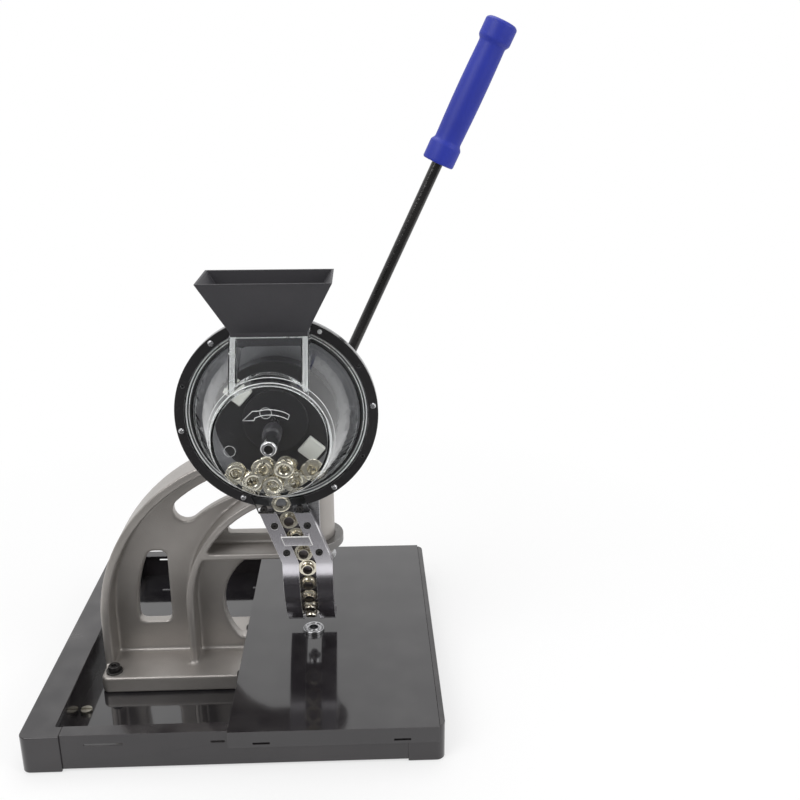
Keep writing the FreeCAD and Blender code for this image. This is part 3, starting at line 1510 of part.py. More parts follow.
def chute_side_plate(side):
    """One side plate of the chute, whose lip covers the rim of the eyelets' flanges."""
    sign = -1 if side == "left" else 1

    def span(inner, outer):
        return (inner, outer) if sign > 0 else (f"-({outer})", f"-({inner})")

    across = span("chute_slot_half", "chute_half_width")
    plate = chute_slab(f"{side}_slab", *across, ("0", "chute_face_thickness"))
    channel_depths = ("chute_face_thickness - channel_depth", "chute_face_thickness")
    channel = chute_slab(f"{side}_channel", *span("chute_slot_half", "channel_half"), channel_depths)
    places = [place for i, place in enumerate(chute_screw_places()) if (i % 2 == 1) == (sign > 0)]
    tools = [channel]
    plate_span = (CHUTE_FACE, "feed_plane")
    head_span = (CHUTE_FACE, f"{CHUTE_FACE} + counterbore_depth")
    for i, place in enumerate(places):
        hole = rod(f"{side}_plate_hole_{i}", "chute_screw_radius + fit", "Y", plate_span, place)
        tools += [hole, rod(f"{side}_head_room_{i}", "counterbore_radius", "Y", head_span, place)]
    return keep(f"chute_{side}_plate", cut(f"chute_{side}_plate_cut", plate, *tools))


def chute_back_plate():
    """The chute's back: the track for the flanges, an open end for the punch, and the roller's lugs."""
    depths = ("chute_face_thickness", "chute_face_thickness + chute_back_thickness")
    plate = chute_slab("back_slab", "-chute_half_width", "chute_half_width", depths)
    punch_slot = box(
        "punch_slot",
        ("punch_place - punch_slot_half", "punch_place + punch_slot_half"),
        ("frame_plane - die_nose_radius - punch_slot_reach", f"{CHUTE_CENTRE[0]} + overshoot"),
        (PLATE_UNDER, "die_face + punch_slot_rise"),
    )
    lugs = []
    depth = (f"{ROLLER_PLANE} - lug_depth", f"{ROLLER_PLANE} + lug_front")
    height = ("roller_height - lug_half_height", "roller_height + lug_half_height")
    for i, side in enumerate("-+"):
        inner = "(roller_width / 2 + gap)"
        span = (f"punch_place {side} {inner}", f"punch_place {side} ({inner} + lug_thickness)")
        span = span if side == "+" else span[::-1]
        lugs.append(box(f"roller_lug_{i}", span, depth, height))
    half = "(roller_width / 2 + gap + lug_thickness)"
    pin_hole = rod(
        "roller_pin_hole",
        "roller_pin_radius + fit",
        "X",
        (f"punch_place - {half}", f"punch_place + {half}"),
        (ROLLER_PLANE, "roller_height"),
    )
    hole_span = ("feed_plane", "feed_plane + chute_back_thickness")
    holes = [
        rod(f"back_plate_hole_{i}", "chute_screw_radius + fit", "Y", hole_span, place)
        for i, place in enumerate(chute_screw_places())
    ]
    face_radii = ("chute_radius", "chute_radius - chute_face_thickness")
    face = bent("lug_limit", "-chute_half_width", "chute_half_width", face_radii)
    solid = fuse("back_plate_solid", cut("back_plate_open", plate, punch_slot), *lugs)
    return keep("chute_back_plate", cut("chute_back_plate_cut", solid, pin_hole, *holes, face))


def chute_screws():
    """Socket screws of the chute: four sunk ones and two on its outlet block."""
    head = ("chute_head_radius", "chute_head_height")
    length = "chute_face_thickness - counterbore_depth + chute_back_thickness - screw_end_wall"
    shank = ("chute_screw_radius", length)
    screws = [
        cap_screw(f"chute_screw_{i}", "Y", f"({CHUTE_FACE} + counterbore_depth)", place, head, shank, 1)
        for i, place in enumerate(chute_screw_places())
    ]
    outlet_seat = "(feed_plane - outlet_depth)"
    outlet_head = ("outlet_head_radius", "outlet_head_height")
    outlet_shank = ("outlet_screw_radius", "outlet_depth + drum_plate_thickness - screw_end_wall")
    screws += [
        cap_screw(f"outlet_screw_{i}", "Y", outlet_seat, place, outlet_head, outlet_shank, 1)
        for i, place in enumerate(outlet_screw_places())
    ]
    return keep("chute_screws", group("chute_screws_group", *screws))


def chute_clip():
    """Small bridge across the slot that keeps the eyelets from lifting."""
    middle = f"(chute_kink + chute_rise * {CLIP_SHARE})"
    along_z = (f"{middle} - clip_height / 2", f"{middle} + clip_height / 2")
    bar_depth = (f"{CHUTE_FACE} - clip_thickness", CHUTE_FACE)
    bar = leaning("clip_bar", "-clip_half_width", "clip_half_width", bar_depth, along_z)
    room_depth = (f"{CHUTE_FACE} - clip_room", CHUTE_FACE)
    room = leaning("clip_hollow", "-chute_slot_half", "chute_slot_half", room_depth, along_z)
    return keep("chute_clip", cut("chute_clip_cut", bar, room))


def spring_fingers():
    """Leaf springs beside the slot's mouth that hold the last eyelet."""
    radii = ("chute_radius + finger_thickness", "chute_radius + fit / 2")
    angles = ("chute_bend_angle - finger_angle", "finger_angle")
    pieces = [
        bent("right_finger", "chute_slot_half", "chute_slot_half + finger_width", radii, angles),
        bent("left_finger", "-chute_slot_half - finger_width", "-chute_slot_half", radii, angles),
    ]
    return keep("spring_fingers", group("spring_fingers_group", *pieces))


def roller_pin():
    """Pin of the cam roller, in the two lugs."""
    half = "(roller_width / 2 + gap + lug_thickness)"
    span = (f"punch_place - {half}", f"punch_place + {half}")
    pin = rod("roller_pin_rod", "roller_pin_radius", "X", span, (ROLLER_PLANE, "roller_height"))
    return keep("roller_pin", pin)


def cam_roller():
    """Roller that runs on the ram's cone."""
    span = ("punch_place - roller_width / 2", "punch_place + roller_width / 2")
    bore = "roller_pin_radius + fit"
    ring = tube("cam_roller_ring", "roller_radius", bore, "X", span, (ROLLER_PLANE, "roller_height"))
    return keep("cam_roller", ring)


def outlet_screw_places():
    """X and Z of the two screws through the outlet block."""
    height = f"({CHUTE_TOP} + outlet_screw_rise)"
    middle = f"(punch_place - tan(chute_lean_angle) * ({height} - chute_kink))"
    return [(f"{middle} {side} outlet_screw_offset", height) for side in "-+"]


def outlet_screw_holes(name, span):
    """Holes for the two outlet screws through a Y span."""
    places = enumerate(outlet_screw_places())
    return [rod(f"{name}_{i}", "outlet_screw_radius + fit", "Y", span, place) for i, place in places]


def outlet_slab(name, half, depth_span, low=CHUTE_TOP):
    """A leaning slab from a height up into the drum."""
    return leaning(name, f"-({half})", f"({half})", depth_span, (low, f"{CHUTE_TOP} + outlet_reach"))


# Y span of the outlet's channel behind its front wall.
OUTLET_CHANNEL = ("feed_plane - outlet_depth + outlet_wall", "feed_plane")


def outlet_block():
    """Clear block that leads the eyelets from the drum into the chute."""
    span = ("feed_plane - outlet_depth", "feed_plane")
    block = outlet_slab("outlet_slab", "chute_half_width", span)
    drum_room = rod("outlet_drum_room", "ring_inner_radius", "Y", span, DRUM)
    channel = outlet_slab("outlet_channel", "channel_half", OUTLET_CHANNEL)
    holes = outlet_screw_holes("outlet_hole", span)
    return keep("outlet_block", cut("outlet_block_cut", block, drum_room, channel, *holes))


def feeder_bracket():
    """Bracket behind the drum and the chute, with the hinge's knuckle."""
    plate_back = "(feed_plane + chute_back_thickness)"
    half = "knuckle_width / 2"
    across = (f"punch_place - {half}", f"punch_place + {half}")
    top = "hinge_height + knuckle_radius"
    spine_depth = (plate_back, f"{plate_back} + bracket_thickness")
    spine = box("bracket_spine", across, spine_depth, ("chute_kink + bracket_rise", "hinge_height"))
    spacer = box("bracket_spacer", across, (PLATE_BACK, plate_back), (f"{CHUTE_TOP} + gap", top))
    neck = box("bracket_neck", across, (plate_back, "hinge_plane"), ("hinge_height - knuckle_radius", top))
    knuckle = rod("bracket_knuckle", "knuckle_radius", "X", across, ("hinge_plane", "hinge_height"))
    hole = rod("knuckle_hole", "hinge_pin_radius + fit", "X", across, ("hinge_plane", "hinge_height"))
    solid = fuse("bracket_solid", spine, spacer, neck, knuckle)
    return keep("feeder_bracket", cut("feeder_bracket_cut", solid, hole))


# ---------------------------------------------------------------- drum


def ring_places(angles, circle="ring_screw_circle"):
    """X and Z of points on a circle about the drum's axis."""
    return [
        (f"drum_place + ({circle}) * cos({angle})", f"drum_height + ({circle}) * sin({angle})")
        for angle in angles
    ]


def ring_screw_holes(name, span, angles):
    """Holes on the ring's screw circle through a Y span."""
    places = enumerate(ring_places(angles))
    return [rod(f"{name}_{i}", "ring_screw_radius + fit", "Y", span, place) for i, place in places]


def drum_back_plate():
    """The drum's round back plate."""
    span = ("feed_plane", PLATE_BACK)
    disc = rod("back_disc", "drum_radius", "Y", span, DRUM)
    tools = [rod("spindle_hole", "spindle_radius + fit", "Y", span, DRUM)]
    tools += ring_screw_holes("back_disc_hole", span, RING_SCREW_ANGLES)
    tools += outlet_screw_holes("back_outlet_hole", span)
    return keep("drum_back_plate", cut("drum_back_plate_cut", disc, *tools))


def drum_ring():
    """Black ring that clamps the cover, open at the outlet."""
    span = ("feed_plane - ring_thickness", "feed_plane")
    ring = tube("ring_blank", "drum_radius", "ring_inner_radius", "Y", span, DRUM)
    low = "drum_height - drum_radius - overshoot"
    gap = outlet_slab("ring_outlet_gap", "chute_half_width + fit", span, low)
    holes = ring_screw_holes("ring_hole", span, RING_SCREW_ANGLES + RING_HOLE_ANGLES)
    return keep("drum_ring", cut("drum_ring_cut", ring, gap, *holes))


def drum_screws():
    """Screws that hold the ring."""
    face = "(feed_plane - ring_thickness)"
    head = ("ring_head_radius", "ring_head_height")
    shank = ("ring_screw_radius", "ring_thickness + drum_plate_thickness - ring_screw_wall")
    screws = [
        cap_screw(f"ring_screw_{i}", "Y", face, place, head, shank, 1)
        for i, place in enumerate(ring_places(RING_SCREW_ANGLES))
    ]
    return keep("drum_screws", group("drum_screws_group", *screws))


def cover_profile(inside):
    """Half section of the cover's outside, with its inside when asked."""
    outer = [
        ("ring_inner_radius - gap", "0"),
        ("ring_inner_radius - gap", "-cover_flange"),
        ("cover_base_radius + cover_foot", "-cover_flange"),
        ("cover_base_radius", "-cover_flange - cover_foot"),
        ("cover_front_radius + cover_shoulder", "-cover_depth + cover_shoulder_depth"),
        ("cover_front_radius - cover_edge", "-cover_depth"),
    ]
    if not inside:
        return [("0", "0"), *outer, ("0", "-cover_depth")]
    inner = [
        ("spindle_radius + fit", "-cover_depth"),
        ("spindle_radius + fit", "-cover_depth + cover_wall"),
        ("cover_front_radius - cover_wall", "-cover_depth + cover_wall"),
        ("cover_base_radius - cover_wall", "-cover_flange"),
        ("cover_base_radius - cover_wall", "0"),
    ]
    return outer + inner


def neck_prism(name, half_width, inset, top):
    """The neck's sloping prism, with its walls moved in by an inset."""
    slope = "(neck_front - (feed_plane - cover_depth)) / (neck_top - neck_bottom)"
    points = [
        (f"{COVER_FRONT} + {inset}", "neck_bottom"),
        (f"neck_front + {inset} + ({top} - neck_top) * {slope}", top),
        (f"neck_back - {inset}", top),
        (f"neck_back - {inset}", "neck_bottom"),
    ]
    return padded(name, "YZ", points, (f"drum_place - ({half_width})", f"drum_place + ({half_width})"))


def clear_cover():
    """Clear conical cover, open to the inlet neck above and to the outlet below."""
    shell = turned("cover_shell", "Y", cover_profile(True), DRUM, "feed_plane")
    inlet_half = "neck_half_width - neck_side_wall"
    inlet = neck_prism("cover_inlet", inlet_half, "neck_wall + inlet_margin", "neck_top")
    low = "drum_height - ring_inner_radius - overshoot"
    outlet = outlet_slab("cover_outlet", "channel_half", OUTLET_CHANNEL, low)
    return keep("clear_cover", cut("clear_cover_cut", shell, inlet, outlet))


def inlet_neck():
    """Clear sloping duct on top of the cover."""
    outside = neck_prism("neck_outside", "neck_half_width", "0", "neck_top")
    inside = neck_prism("neck_inside", "neck_half_width - neck_side_wall", "neck_wall", "neck_top")
    cone_room = turned("neck_cone_room", "Y", cover_profile(False), DRUM, "feed_plane")
    return keep("inlet_neck", cut("inlet_neck_cut", outside, inside, cone_room))


def funnel():
    """Funnel: flared hopper, foot on the neck and a spout into it."""
    foot_top = "(neck_top + funnel_foot_height)"
    foot_y = ("neck_front + funnel_foot_inset", "neck_back - funnel_foot_inset")
    top_y = ("funnel_front", "neck_back + funnel_foot_inset")
    low_x = ("drum_place - funnel_foot_half_width", "drum_place + funnel_foot_half_width")
    high_x = ("drum_place - funnel_half_width", "drum_place + funnel_half_width")
    flare = wedge("funnel_flare", low_x, high_x, foot_y, top_y, (foot_top, "funnel_top"))
    foot = box("funnel_foot", low_x, foot_y, ("neck_top", foot_top))
    spout_half = "neck_half_width - neck_side_wall - gap"
    spout_x = (f"drum_place - ({spout_half})", f"drum_place + ({spout_half})")
    spout_y = ("neck_front + neck_wall + gap", "neck_back - neck_wall - gap")
    spout = box("funnel_spout", spout_x, spout_y, ("neck_top - spout_drop", "neck_top"))
    hole_x = (f"{spout_x[0]} + funnel_wall", f"{spout_x[1]} - funnel_wall")
    hole_y = (f"{spout_y[0]} + funnel_wall", f"{spout_y[1]} - funnel_wall")
    hole = box("funnel_hole", hole_x, hole_y, ("neck_top - spout_drop", foot_top))
    inner_high_x = (f"{high_x[0]} + funnel_wall", f"{high_x[1]} - funnel_wall")
    inner_high_y = (f"{top_y[0]} + funnel_wall", f"{top_y[1]} - funnel_wall")
    hollow = wedge("funnel_hollow", hole_x, inner_high_x, hole_y, inner_high_y, (foot_top, "funnel_top"))
    return keep("funnel", cut("funnel_cut", fuse("funnel_solid", flare, foot, spout), hole, hollow))


def agitator_disc():
    """Stirring disc with a raised hub, next to the back plate."""
    back = "(feed_plane - gap)"
    front = f"({back} - disc_thickness)"
    solid = fuse(
        "disc_solid",
        rod("disc_flat", "disc_radius", "Y", (front, back), DRUM),
        rod("disc_hub", "agitator_hub_radius", "Y", (f"{front} - agitator_hub_thickness", front), DRUM),
    )
    bore = rod("disc_bore", "spindle_radius + fit", "Y", (f"{front} - agitator_hub_thickness", back), DRUM)
    return keep("agitator_disc", cut("agitator_disc_cut", solid, bore))


def agitator_paddles():
    """Two white paddles on the disc, opposite each other."""
    front = "(feed_plane - gap - disc_thickness)"
    paddles = []
    depth = (f"{front} - paddle_height", front)
    for i, angle in enumerate(PADDLE_ANGLES):
        x, z = ring_places((angle,), "paddle_circle - paddle_size / 2")[0]
        x += f" + paddle_size / 2 * sin({angle})"
        z += f" - paddle_size / 2 * cos({angle})"
        side = ("0", "paddle_size")
        block = box(f"paddle_block_{i}", side, depth, side)
        seat(block, (x, depth[0], z), FreeCAD.Rotation(FreeCAD.Vector(0, 1, 0), -angle))
        hub_room = rod(f"paddle_hub_room_{i}", "agitator_hub_radius", "Y", depth, DRUM)
        paddles.append(cut(f"paddle_{i}", block, hub_room))
    return keep("agitator_paddles", group("agitator_paddles_group", *paddles))


def agitator_spindle():
    """The agitator's spindle, from its knob in the drum to the ratchet wheel behind."""
    span = (f"{COVER_FRONT} + knob_setback + knob_length", f"{PLATE_BACK} + ratchet_thickness + spindle_end")
    return keep("agitator_spindle", rod("spindle_rod", "spindle_radius", "Y", span, DRUM))


def agitator_knob():
    """Dark knob on the front end of the spindle."""
    start = f"({COVER_FRONT} + knob_setback)"
    profile = [
        ("0", "0"),
        ("knob_radius - knob_chamfer", "0"),
        ("knob_radius", "knob_chamfer"),
        ("knob_radius", "knob_length + knob_skirt"),
        ("spindle_radius + fit", "knob_length + knob_skirt"),
        ("spindle_radius + fit", "knob_length"),
        ("0", "knob_length"),
    ]
    return keep("agitator_knob", turned("agitator_knob_body", "Y", profile, DRUM, start))


def cover_nut():
    """Bright stud and nut in the middle of the cover's front."""
    back = "cover_wall + back_nut_room"
    profile = [
        ("0", "-nut_length - stud_reach"),
        ("spindle_radius - stud_chamfer", "-nut_length - stud_reach"),
        ("spindle_radius", "-nut_length - stud_reach + stud_chamfer"),
        ("spindle_radius", "-nut_length"),
        ("nut_radius - nut_chamfer", "-nut_length"),
        ("nut_radius", "-nut_length + nut_chamfer"),
        ("nut_radius", "-nut_washer_thickness"),
        ("nut_radius + nut_washer_width", "-nut_washer_thickness"),
        ("nut_radius + nut_washer_width", "0"),
        ("spindle_radius", "0"),
        ("spindle_radius", back),
        ("nut_radius", back),
        ("nut_radius", f"{back} + back_nut_length"),
        ("0", f"{back} + back_nut_length"),
    ]
    return keep("cover_nut", turned("cover_nut_body", "Y", profile, DRUM, COVER_FRONT))


def ratchet_wheel():
    """Ratchet wheel on the rear end of the spindle."""
    count = int(round(value("ratchet_teeth")))
    tip = value("ratchet_radius")
    root = value("ratchet_radius - ratchet_tooth")
    points = []
    for number in range(count):
        start = math.radians(number * 360 / count)
        for radius, angle in ((tip, start), (root, start + RATCHET_UNDERCUT)):
            points.append(FreeCAD.Vector(radius * math.cos(angle), 0, radius * math.sin(angle)))
    face = Part.Face(Part.makePolygon(points + points[:1]))
    blank = DOC.addObject("Part::Feature", "ratchet_blank")
    blank.Shape = face.extrude(FreeCAD.Vector(0, value("ratchet_thickness"), 0))
    start = f"{PLATE_BACK} + ratchet_play"
    place = FreeCAD.Vector(value("drum_place"), value(start), value("drum_height"))
    blank.Placement = FreeCAD.Placement(place, FreeCAD.Rotation())
    bore = rod("ratchet_bore", "spindle_radius + fit", "Y", (start, f"{start} + ratchet_thickness"), DRUM)
    return keep("ratchet_wheel", cut("ratchet_wheel_cut", blank, bore))


def pawl_place():
    """X and Z of the pawl's pin, to the left of the ratchet wheel."""
    return ("drum_place - ratchet_radius - pawl_offset", "drum_height - pawl_drop")


def pawl_pin():
    """Pin in the back plate that carries the pawl."""
    span = (PLATE_BACK, f"{PLATE_BACK} + ratchet_thickness + spindle_end")
    return keep("pawl_pin", rod("pawl_pin_rod", "pawl_pin_radius", "Y", span, pawl_place()))


def pawl():
    """Pawl whose tip stands just outside the ratchet wheel's teeth."""
    x, z = pawl_place()
    start = f"{PLATE_BACK} + ratchet_play"
    span = (start, f"{start} + ratchet_thickness")
    eye = rod("pawl_eye", "pawl_eye_radius", "Y", span, (x, z))
    points = [
        (f"{x} - pawl_half_width", z),
        (f"{x} + pawl_half_width", z),
        ("drum_place - ratchet_radius - gap", "drum_height"),
        ("drum_place - ratchet_radius - gap", "drum_height + pawl_tip_height"),
    ]
    arm = padded("pawl_arm", "XZ", points, span)
    hole = rod("pawl_hole", "pawl_pin_radius + fit", "Y", span, (x, z))
    wheel_room = rod("pawl_wheel_room", "ratchet_radius + gap", "Y", span, DRUM)
    return keep("pawl", cut("pawl_cut", fuse("pawl_solid", eye, arm), hole, wheel_room))


# ---------------------------------------------------------------- eyelets


def eyelet_solid(name):
    """One eyelet at the origin: flange behind, barrel to the front."""
    profile = [
        ("eyelet_bore_radius", "0"),
        ("eyelet_radius - eyelet_rounding", "0"),
        ("eyelet_radius", "-eyelet_flange_thickness / 2"),
        ("eyelet_radius - eyelet_rounding", "-eyelet_flange_thickness"),
        ("eyelet_barrel_radius", "-eyelet_flange_thickness"),
        ("eyelet_barrel_radius", "-eyelet_length"),
        ("eyelet_bore_radius", "-eyelet_length"),
    ]
    return turned(name, "Y", profile, ("0", "0"))


def eyelet_group(name, placements):
    """Separate copies of one eyelet."""
    model = eyelet_solid(f"{name}_model")
    DOC.recompute()
    item = DOC.addObject("Part::Feature", f"{name}_copies")
    copies = []
    for placement in placements:
        copy = model.Shape.copy()
        copy.Placement = placement.multiply(copy.Placement)
        copies.append(copy)
    item.Shape = Part.makeCompound(copies)
    return keep(name, item)


def eyelets_in_drum():
    """Loose eyelets in rows along the bottom of the cover, each against the next."""
    axis = FreeCAD.Vector(value("drum_place"), value("feed_plane"), value("drum_height"))
    slope = value("cover_taper") / value("cover_depth - cover_wall - cover_flange")
    radius = value("eyelet_radius")
    layer_step = value("eyelet_length + gap")
    first_layer = value("gap + disc_thickness + agitator_hub_thickness + paddle_height")
    layers = int(value("cover_depth - cover_wall - gap") - first_layer) // int(math.ceil(layer_step))
    placements = []
    for layer in range(layers):
        behind = first_layer + layer * layer_step
        flange_front = behind + value("eyelet_flange_thickness - cover_flange")
        wall = value("cover_base_radius - cover_wall - gap") - slope * flange_front
        # Five eyelets in the lower row and two in the gaps above them.
        for row, half_count in ((0, 2), (1, 1)):
            circle = wall - radius - row * math.sqrt(3) * (radius + value("gap"))
            step = math.degrees(2 * math.asin((radius + value("gap") / 2) / circle))
            shift = step / 2 * row
            for place in range(-half_count, half_count + 1 - row):
                angle = math.radians(270 + place * step + shift)
                spot = axis + FreeCAD.Vector(circle * math.cos(angle), -behind, circle * math.sin(angle))
                placements.append(FreeCAD.Placement(spot, FreeCAD.Rotation()))
    return eyelet_group("eyelets_in_drum", placements)


def eyelets_in_chute():
    """Eyelets in the chute, flanges on its track and barrels through its slot."""
    radius = value("eyelet_radius")
    step = 2 * radius + value("gap")
    track = value("feed_plane") - value("gap")
    lean = math.radians(value("chute_lean_angle"))
    placements = []
    kink = value("chute_kink")
    rise = value("chute_rise + queue_reach")
    middle = value("punch_place")
    count = int(rise / math.cos(lean) / step)
    for number in range(count):
        along = value("eyelet_radius + queue_gap") + number * step
        spot = FreeCAD.Vector(middle - along * math.sin(lean), track, kink + along * math.cos(lean))
        placements.append(FreeCAD.Placement(spot, FreeCAD.Rotation()))
    centre = FreeCAD.Vector(middle, value(CHUTE_CENTRE[0]), kink)
    track_radius = value("chute_radius - chute_face_thickness + gap")
    turn_step = math.degrees(step / (track_radius + value("track_play")))
    first = BEND_START_SHARE * math.degrees(value("eyelet_radius + queue_gap") / track_radius)
    last = value("chute_bend_angle") - MOUTH_ANGLE
    for number in range(int((last - first) / turn_step) + 1):
        angle = first + number * turn_step
        across = FreeCAD.Vector(0, -math.cos(math.radians(angle)), -math.sin(math.radians(angle)))
        turn = FreeCAD.Rotation(FreeCAD.Vector(1, 0, 0), angle)
        placements.append(FreeCAD.Placement(centre + across * track_radius, turn))
    return eyelet_group("eyelets_in_chute", placements)


# ---------------------------------------------------------------- build


def fill_sheet():
    """Write every driving size into the sheet, with its name as alias."""
    for row, (alias, number) in enumerate(SIZES.items(), 1):
        SHEET.set(f"A{row}", alias)
        SHEET.set(f"B{row}", str(number))
        SHEET.setAlias(f"B{row}", alias)
    DOC.recompute()


def build():
    """Make every sub-part."""
    for make in (
        base_tray, left_rail, right_rail, deck_plate, table_plate, table_supports, rubber_feet,
        table_edge_screws, zinc_catch, c_frame, foot_bolts, foot_washers, lower_die, frame_set_screw,
        ram_bushes, pinion_bushes, head_cap, return_spring, barrel_collar, hinge_saddle, saddle_screws,
        feeder_hinge_pin, pinion_shaft, lever_hub, hub_set_screws, lever_rod, lever_grip, shaft_collar,
        ram, cam_cone, upper_die, pilot_pin, upper_die_screw, chute_back_plate, chute_screws, chute_clip,
        spring_fingers, roller_pin, cam_roller, outlet_block, feeder_bracket, drum_back_plate, drum_ring,
        drum_screws, clear_cover, inlet_neck, funnel, agitator_disc, agitator_paddles, agitator_spindle,
        agitator_knob, cover_nut, ratchet_wheel, pawl_pin, pawl, eyelets_in_drum, eyelets_in_chute,
    ):
        make()
    for side in ("left", "right"):
        chute_side_plate(side)
    DOC.recompute()


def check():
    """Stop if any object failed or any sub-part has no valid shape."""
    for item in DOC.Objects:
        if "Invalid" in item.State or "Error" in item.State:
            raise RuntimeError(f"{item.Label} failed: {item.State}")
    for item in SUB_PARTS:
        if item.Shape.isNull() or not item.Shape.Solids or not item.Shape.isValid():
            raise RuntimeError(f"{item.Label} has no valid solid")


def write():
    """Write each sub-part to its own file."""
    os.makedirs("parts", exist_ok=True)
    for item in SUB_PARTS:
        item.Shape.exportStep(f"parts/{item.Label}.step")


fill_sheet()
build()
check()
write()
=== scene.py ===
"""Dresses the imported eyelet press: finishes, turned and moulded pieces, loose eyelets, light and camera.

Metres and radians throughout. X is to the right, Y to the back and Z up.
"""

import json
import logging
import math
import random
from dataclasses import dataclass
from enum import Enum
from functools import cache
from typing import ClassVar, Sequence, Union

import bmesh
import bpy
from mathutils import Matrix, Vector

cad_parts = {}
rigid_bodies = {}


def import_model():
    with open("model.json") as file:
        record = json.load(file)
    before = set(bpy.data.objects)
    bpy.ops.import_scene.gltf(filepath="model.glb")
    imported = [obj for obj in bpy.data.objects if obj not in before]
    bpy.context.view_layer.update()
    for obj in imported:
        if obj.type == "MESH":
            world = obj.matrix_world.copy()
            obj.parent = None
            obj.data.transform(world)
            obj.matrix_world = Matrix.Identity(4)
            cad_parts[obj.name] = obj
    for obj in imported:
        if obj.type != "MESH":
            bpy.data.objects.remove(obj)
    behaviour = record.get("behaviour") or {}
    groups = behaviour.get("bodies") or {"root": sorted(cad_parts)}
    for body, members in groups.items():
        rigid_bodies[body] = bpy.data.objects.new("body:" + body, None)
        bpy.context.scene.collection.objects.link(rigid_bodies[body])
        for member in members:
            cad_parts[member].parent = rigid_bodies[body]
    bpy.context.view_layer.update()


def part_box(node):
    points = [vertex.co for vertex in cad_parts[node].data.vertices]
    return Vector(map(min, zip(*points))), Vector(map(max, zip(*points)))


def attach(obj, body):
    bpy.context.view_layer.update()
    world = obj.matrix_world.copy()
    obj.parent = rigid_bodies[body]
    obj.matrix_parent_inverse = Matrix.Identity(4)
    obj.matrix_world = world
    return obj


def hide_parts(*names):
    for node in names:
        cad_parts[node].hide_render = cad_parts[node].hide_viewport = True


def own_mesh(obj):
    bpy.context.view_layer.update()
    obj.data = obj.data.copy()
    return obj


LOG = logging.getLogger("eyelet_press")
MM = 0.001
# Points of a CAD mesh that are closer than this are one.
WELD = 0.005 * MM
TAU = math.tau
Inputs = bpy.types.NodeInputs
Material = bpy.types.Material
Mesh = bpy.types.Mesh
Node = bpy.types.Node
Object = bpy.types.Object
Outputs = bpy.types.NodeOutputs
Socket = bpy.types.NodeSocket
Tree = bpy.types.NodeTree
Colour = tuple[float, float, float]
Triple = tuple[float, float, float]
# (radius, distance along the axis) points of a turned piece.
Profile = Sequence[tuple[float, float]]
WHITE = (1.0, 1.0, 1.0, 1.0)
FRONT = (0.0, -1.0, 0.0)
BACK = (0.0, 1.0, 0.0)
LEFT = (-1.0, 0.0, 0.0)
UP = (0.0, 0.0, 1.0)
Value = Union[float, int, bool, str, tuple, bpy.types.ID, Socket]


class Slot(Enum):
    """The record's material slots."""

    BLACK_GLOSS = "black_gloss"
    STEEL = "steel"
    BLACK_SCREWS = "black_screws"
    RUBBER = "rubber"
    ZINC = "zinc"
    CAST = "cast_aluminium"
    BRONZE = "bronze"
    ALUMINIUM = "plain_aluminium"
    BLACK_PLASTIC = "black_plastic"
    WHITE_PLASTIC = "white_plastic"
    CLEAR = "clear_plastic"
    GREY_PLASTIC = "grey_plastic"
    BLUE_PLASTIC = "blue_plastic"
    BLACK_ROD = "black_rod"
    NICKEL = "nickel"


# ---------------------------------------------------------------- node trees


class Canvas:
    """A node tree that is being drawn."""

    def __init__(self, tree: Tree) -> None:
        """Keep the tree.

        Args:
            tree: The shader or geometry tree to draw in.
        """
        self.tree = tree

    def add(self, kind: str, inputs: dict | None = None, **settings: object) -> Node:
        """Add a node, set its properties and feed its inputs.

        Args:
            kind: The node's type name.
            inputs: Values or sockets by the input's name or number.
            **settings: The node's own properties.

        Returns:
            The new node.
        """
        node = self.tree.nodes.new(kind)
        for name, setting in settings.items():
            setattr(node, name, setting)
        for name, source in (inputs or {}).items():
            self.feed(node.inputs[name], source)
        return node

    def feed(self, target: Socket, source: Value) -> None:
        """Link a socket to an input, or set the input's value.

        Args:
            target: The input.
            source: The socket or the value.
        """
        if isinstance(source, Socket):
            self.tree.links.new(source, target)
        else:
            target.default_value = source

    def math(self, operation: str, *sources: Value) -> Socket:
        """Join numbers by an operation of the Math node."""
        return self.add("ShaderNodeMath", dict(enumerate(sources)), operation=operation).outputs[0]

    def span(
        self, source: Value, low: float, high: float, to_low: Value = 0.0, to_high: Value = 1.0
    ) -> Socket:
        """Map a number from one span to another, held within it.

        Args:
            source: The number.
            low: Start of the first span.
            high: End of the first span.
            to_low: Start of the second span.
            to_high: End of the second span.

        Returns:
            The socket of the mapped number.
        """
        inputs = {"Value": source, "From Min": low, "From Max": high, "To Min": to_low, "To Max": to_high}
        return self.add("ShaderNodeMapRange", inputs, clamp=True).outputs["Result"]

    def blend(self, share: Value, first: Value, second: Value) -> Socket:
        """Mix two colours.

        Args:
            share: The share of the second, from 0 to 1.
            first: A colour or its socket.
            second: Another one.

        Returns:
            The socket of the mixed colour.
        """
        colours = [(*c, 1.0) if isinstance(c, tuple) and len(c) == 3 else c for c in (first, second)]
        inputs = {0: share, 6: colours[0], 7: colours[1]}
        return self.add("ShaderNodeMix", inputs, data_type="RGBA").outputs[2]

    def noise(self, place: Value, scale: Value, detail: float) -> Socket:
        """Cloudy noise, as a number from 0 to 1."""
        inputs = {"Vector": place, "Scale": scale, "Detail": detail}
        return self.add("ShaderNodeTexNoise", inputs).outputs[0]

    def mix(self, share: Value, first: Value, second: Value) -> Socket:
        """Mix two shaders by a share."""
        return self.add("ShaderNodeMixShader", {0: share, 1: first, 2: second}).outputs[0]

    def effect(self, tree: Tree, inputs: dict[str, Value]) -> Outputs:
        """Place a shader group and give its outputs."""
        return self.add("ShaderNodeGroup", inputs, node_tree=tree).outputs

    def part(self, kind: str, output: str | int) -> Socket:
        """One output of a node without inputs."""
        return self.add(kind).outputs[output]


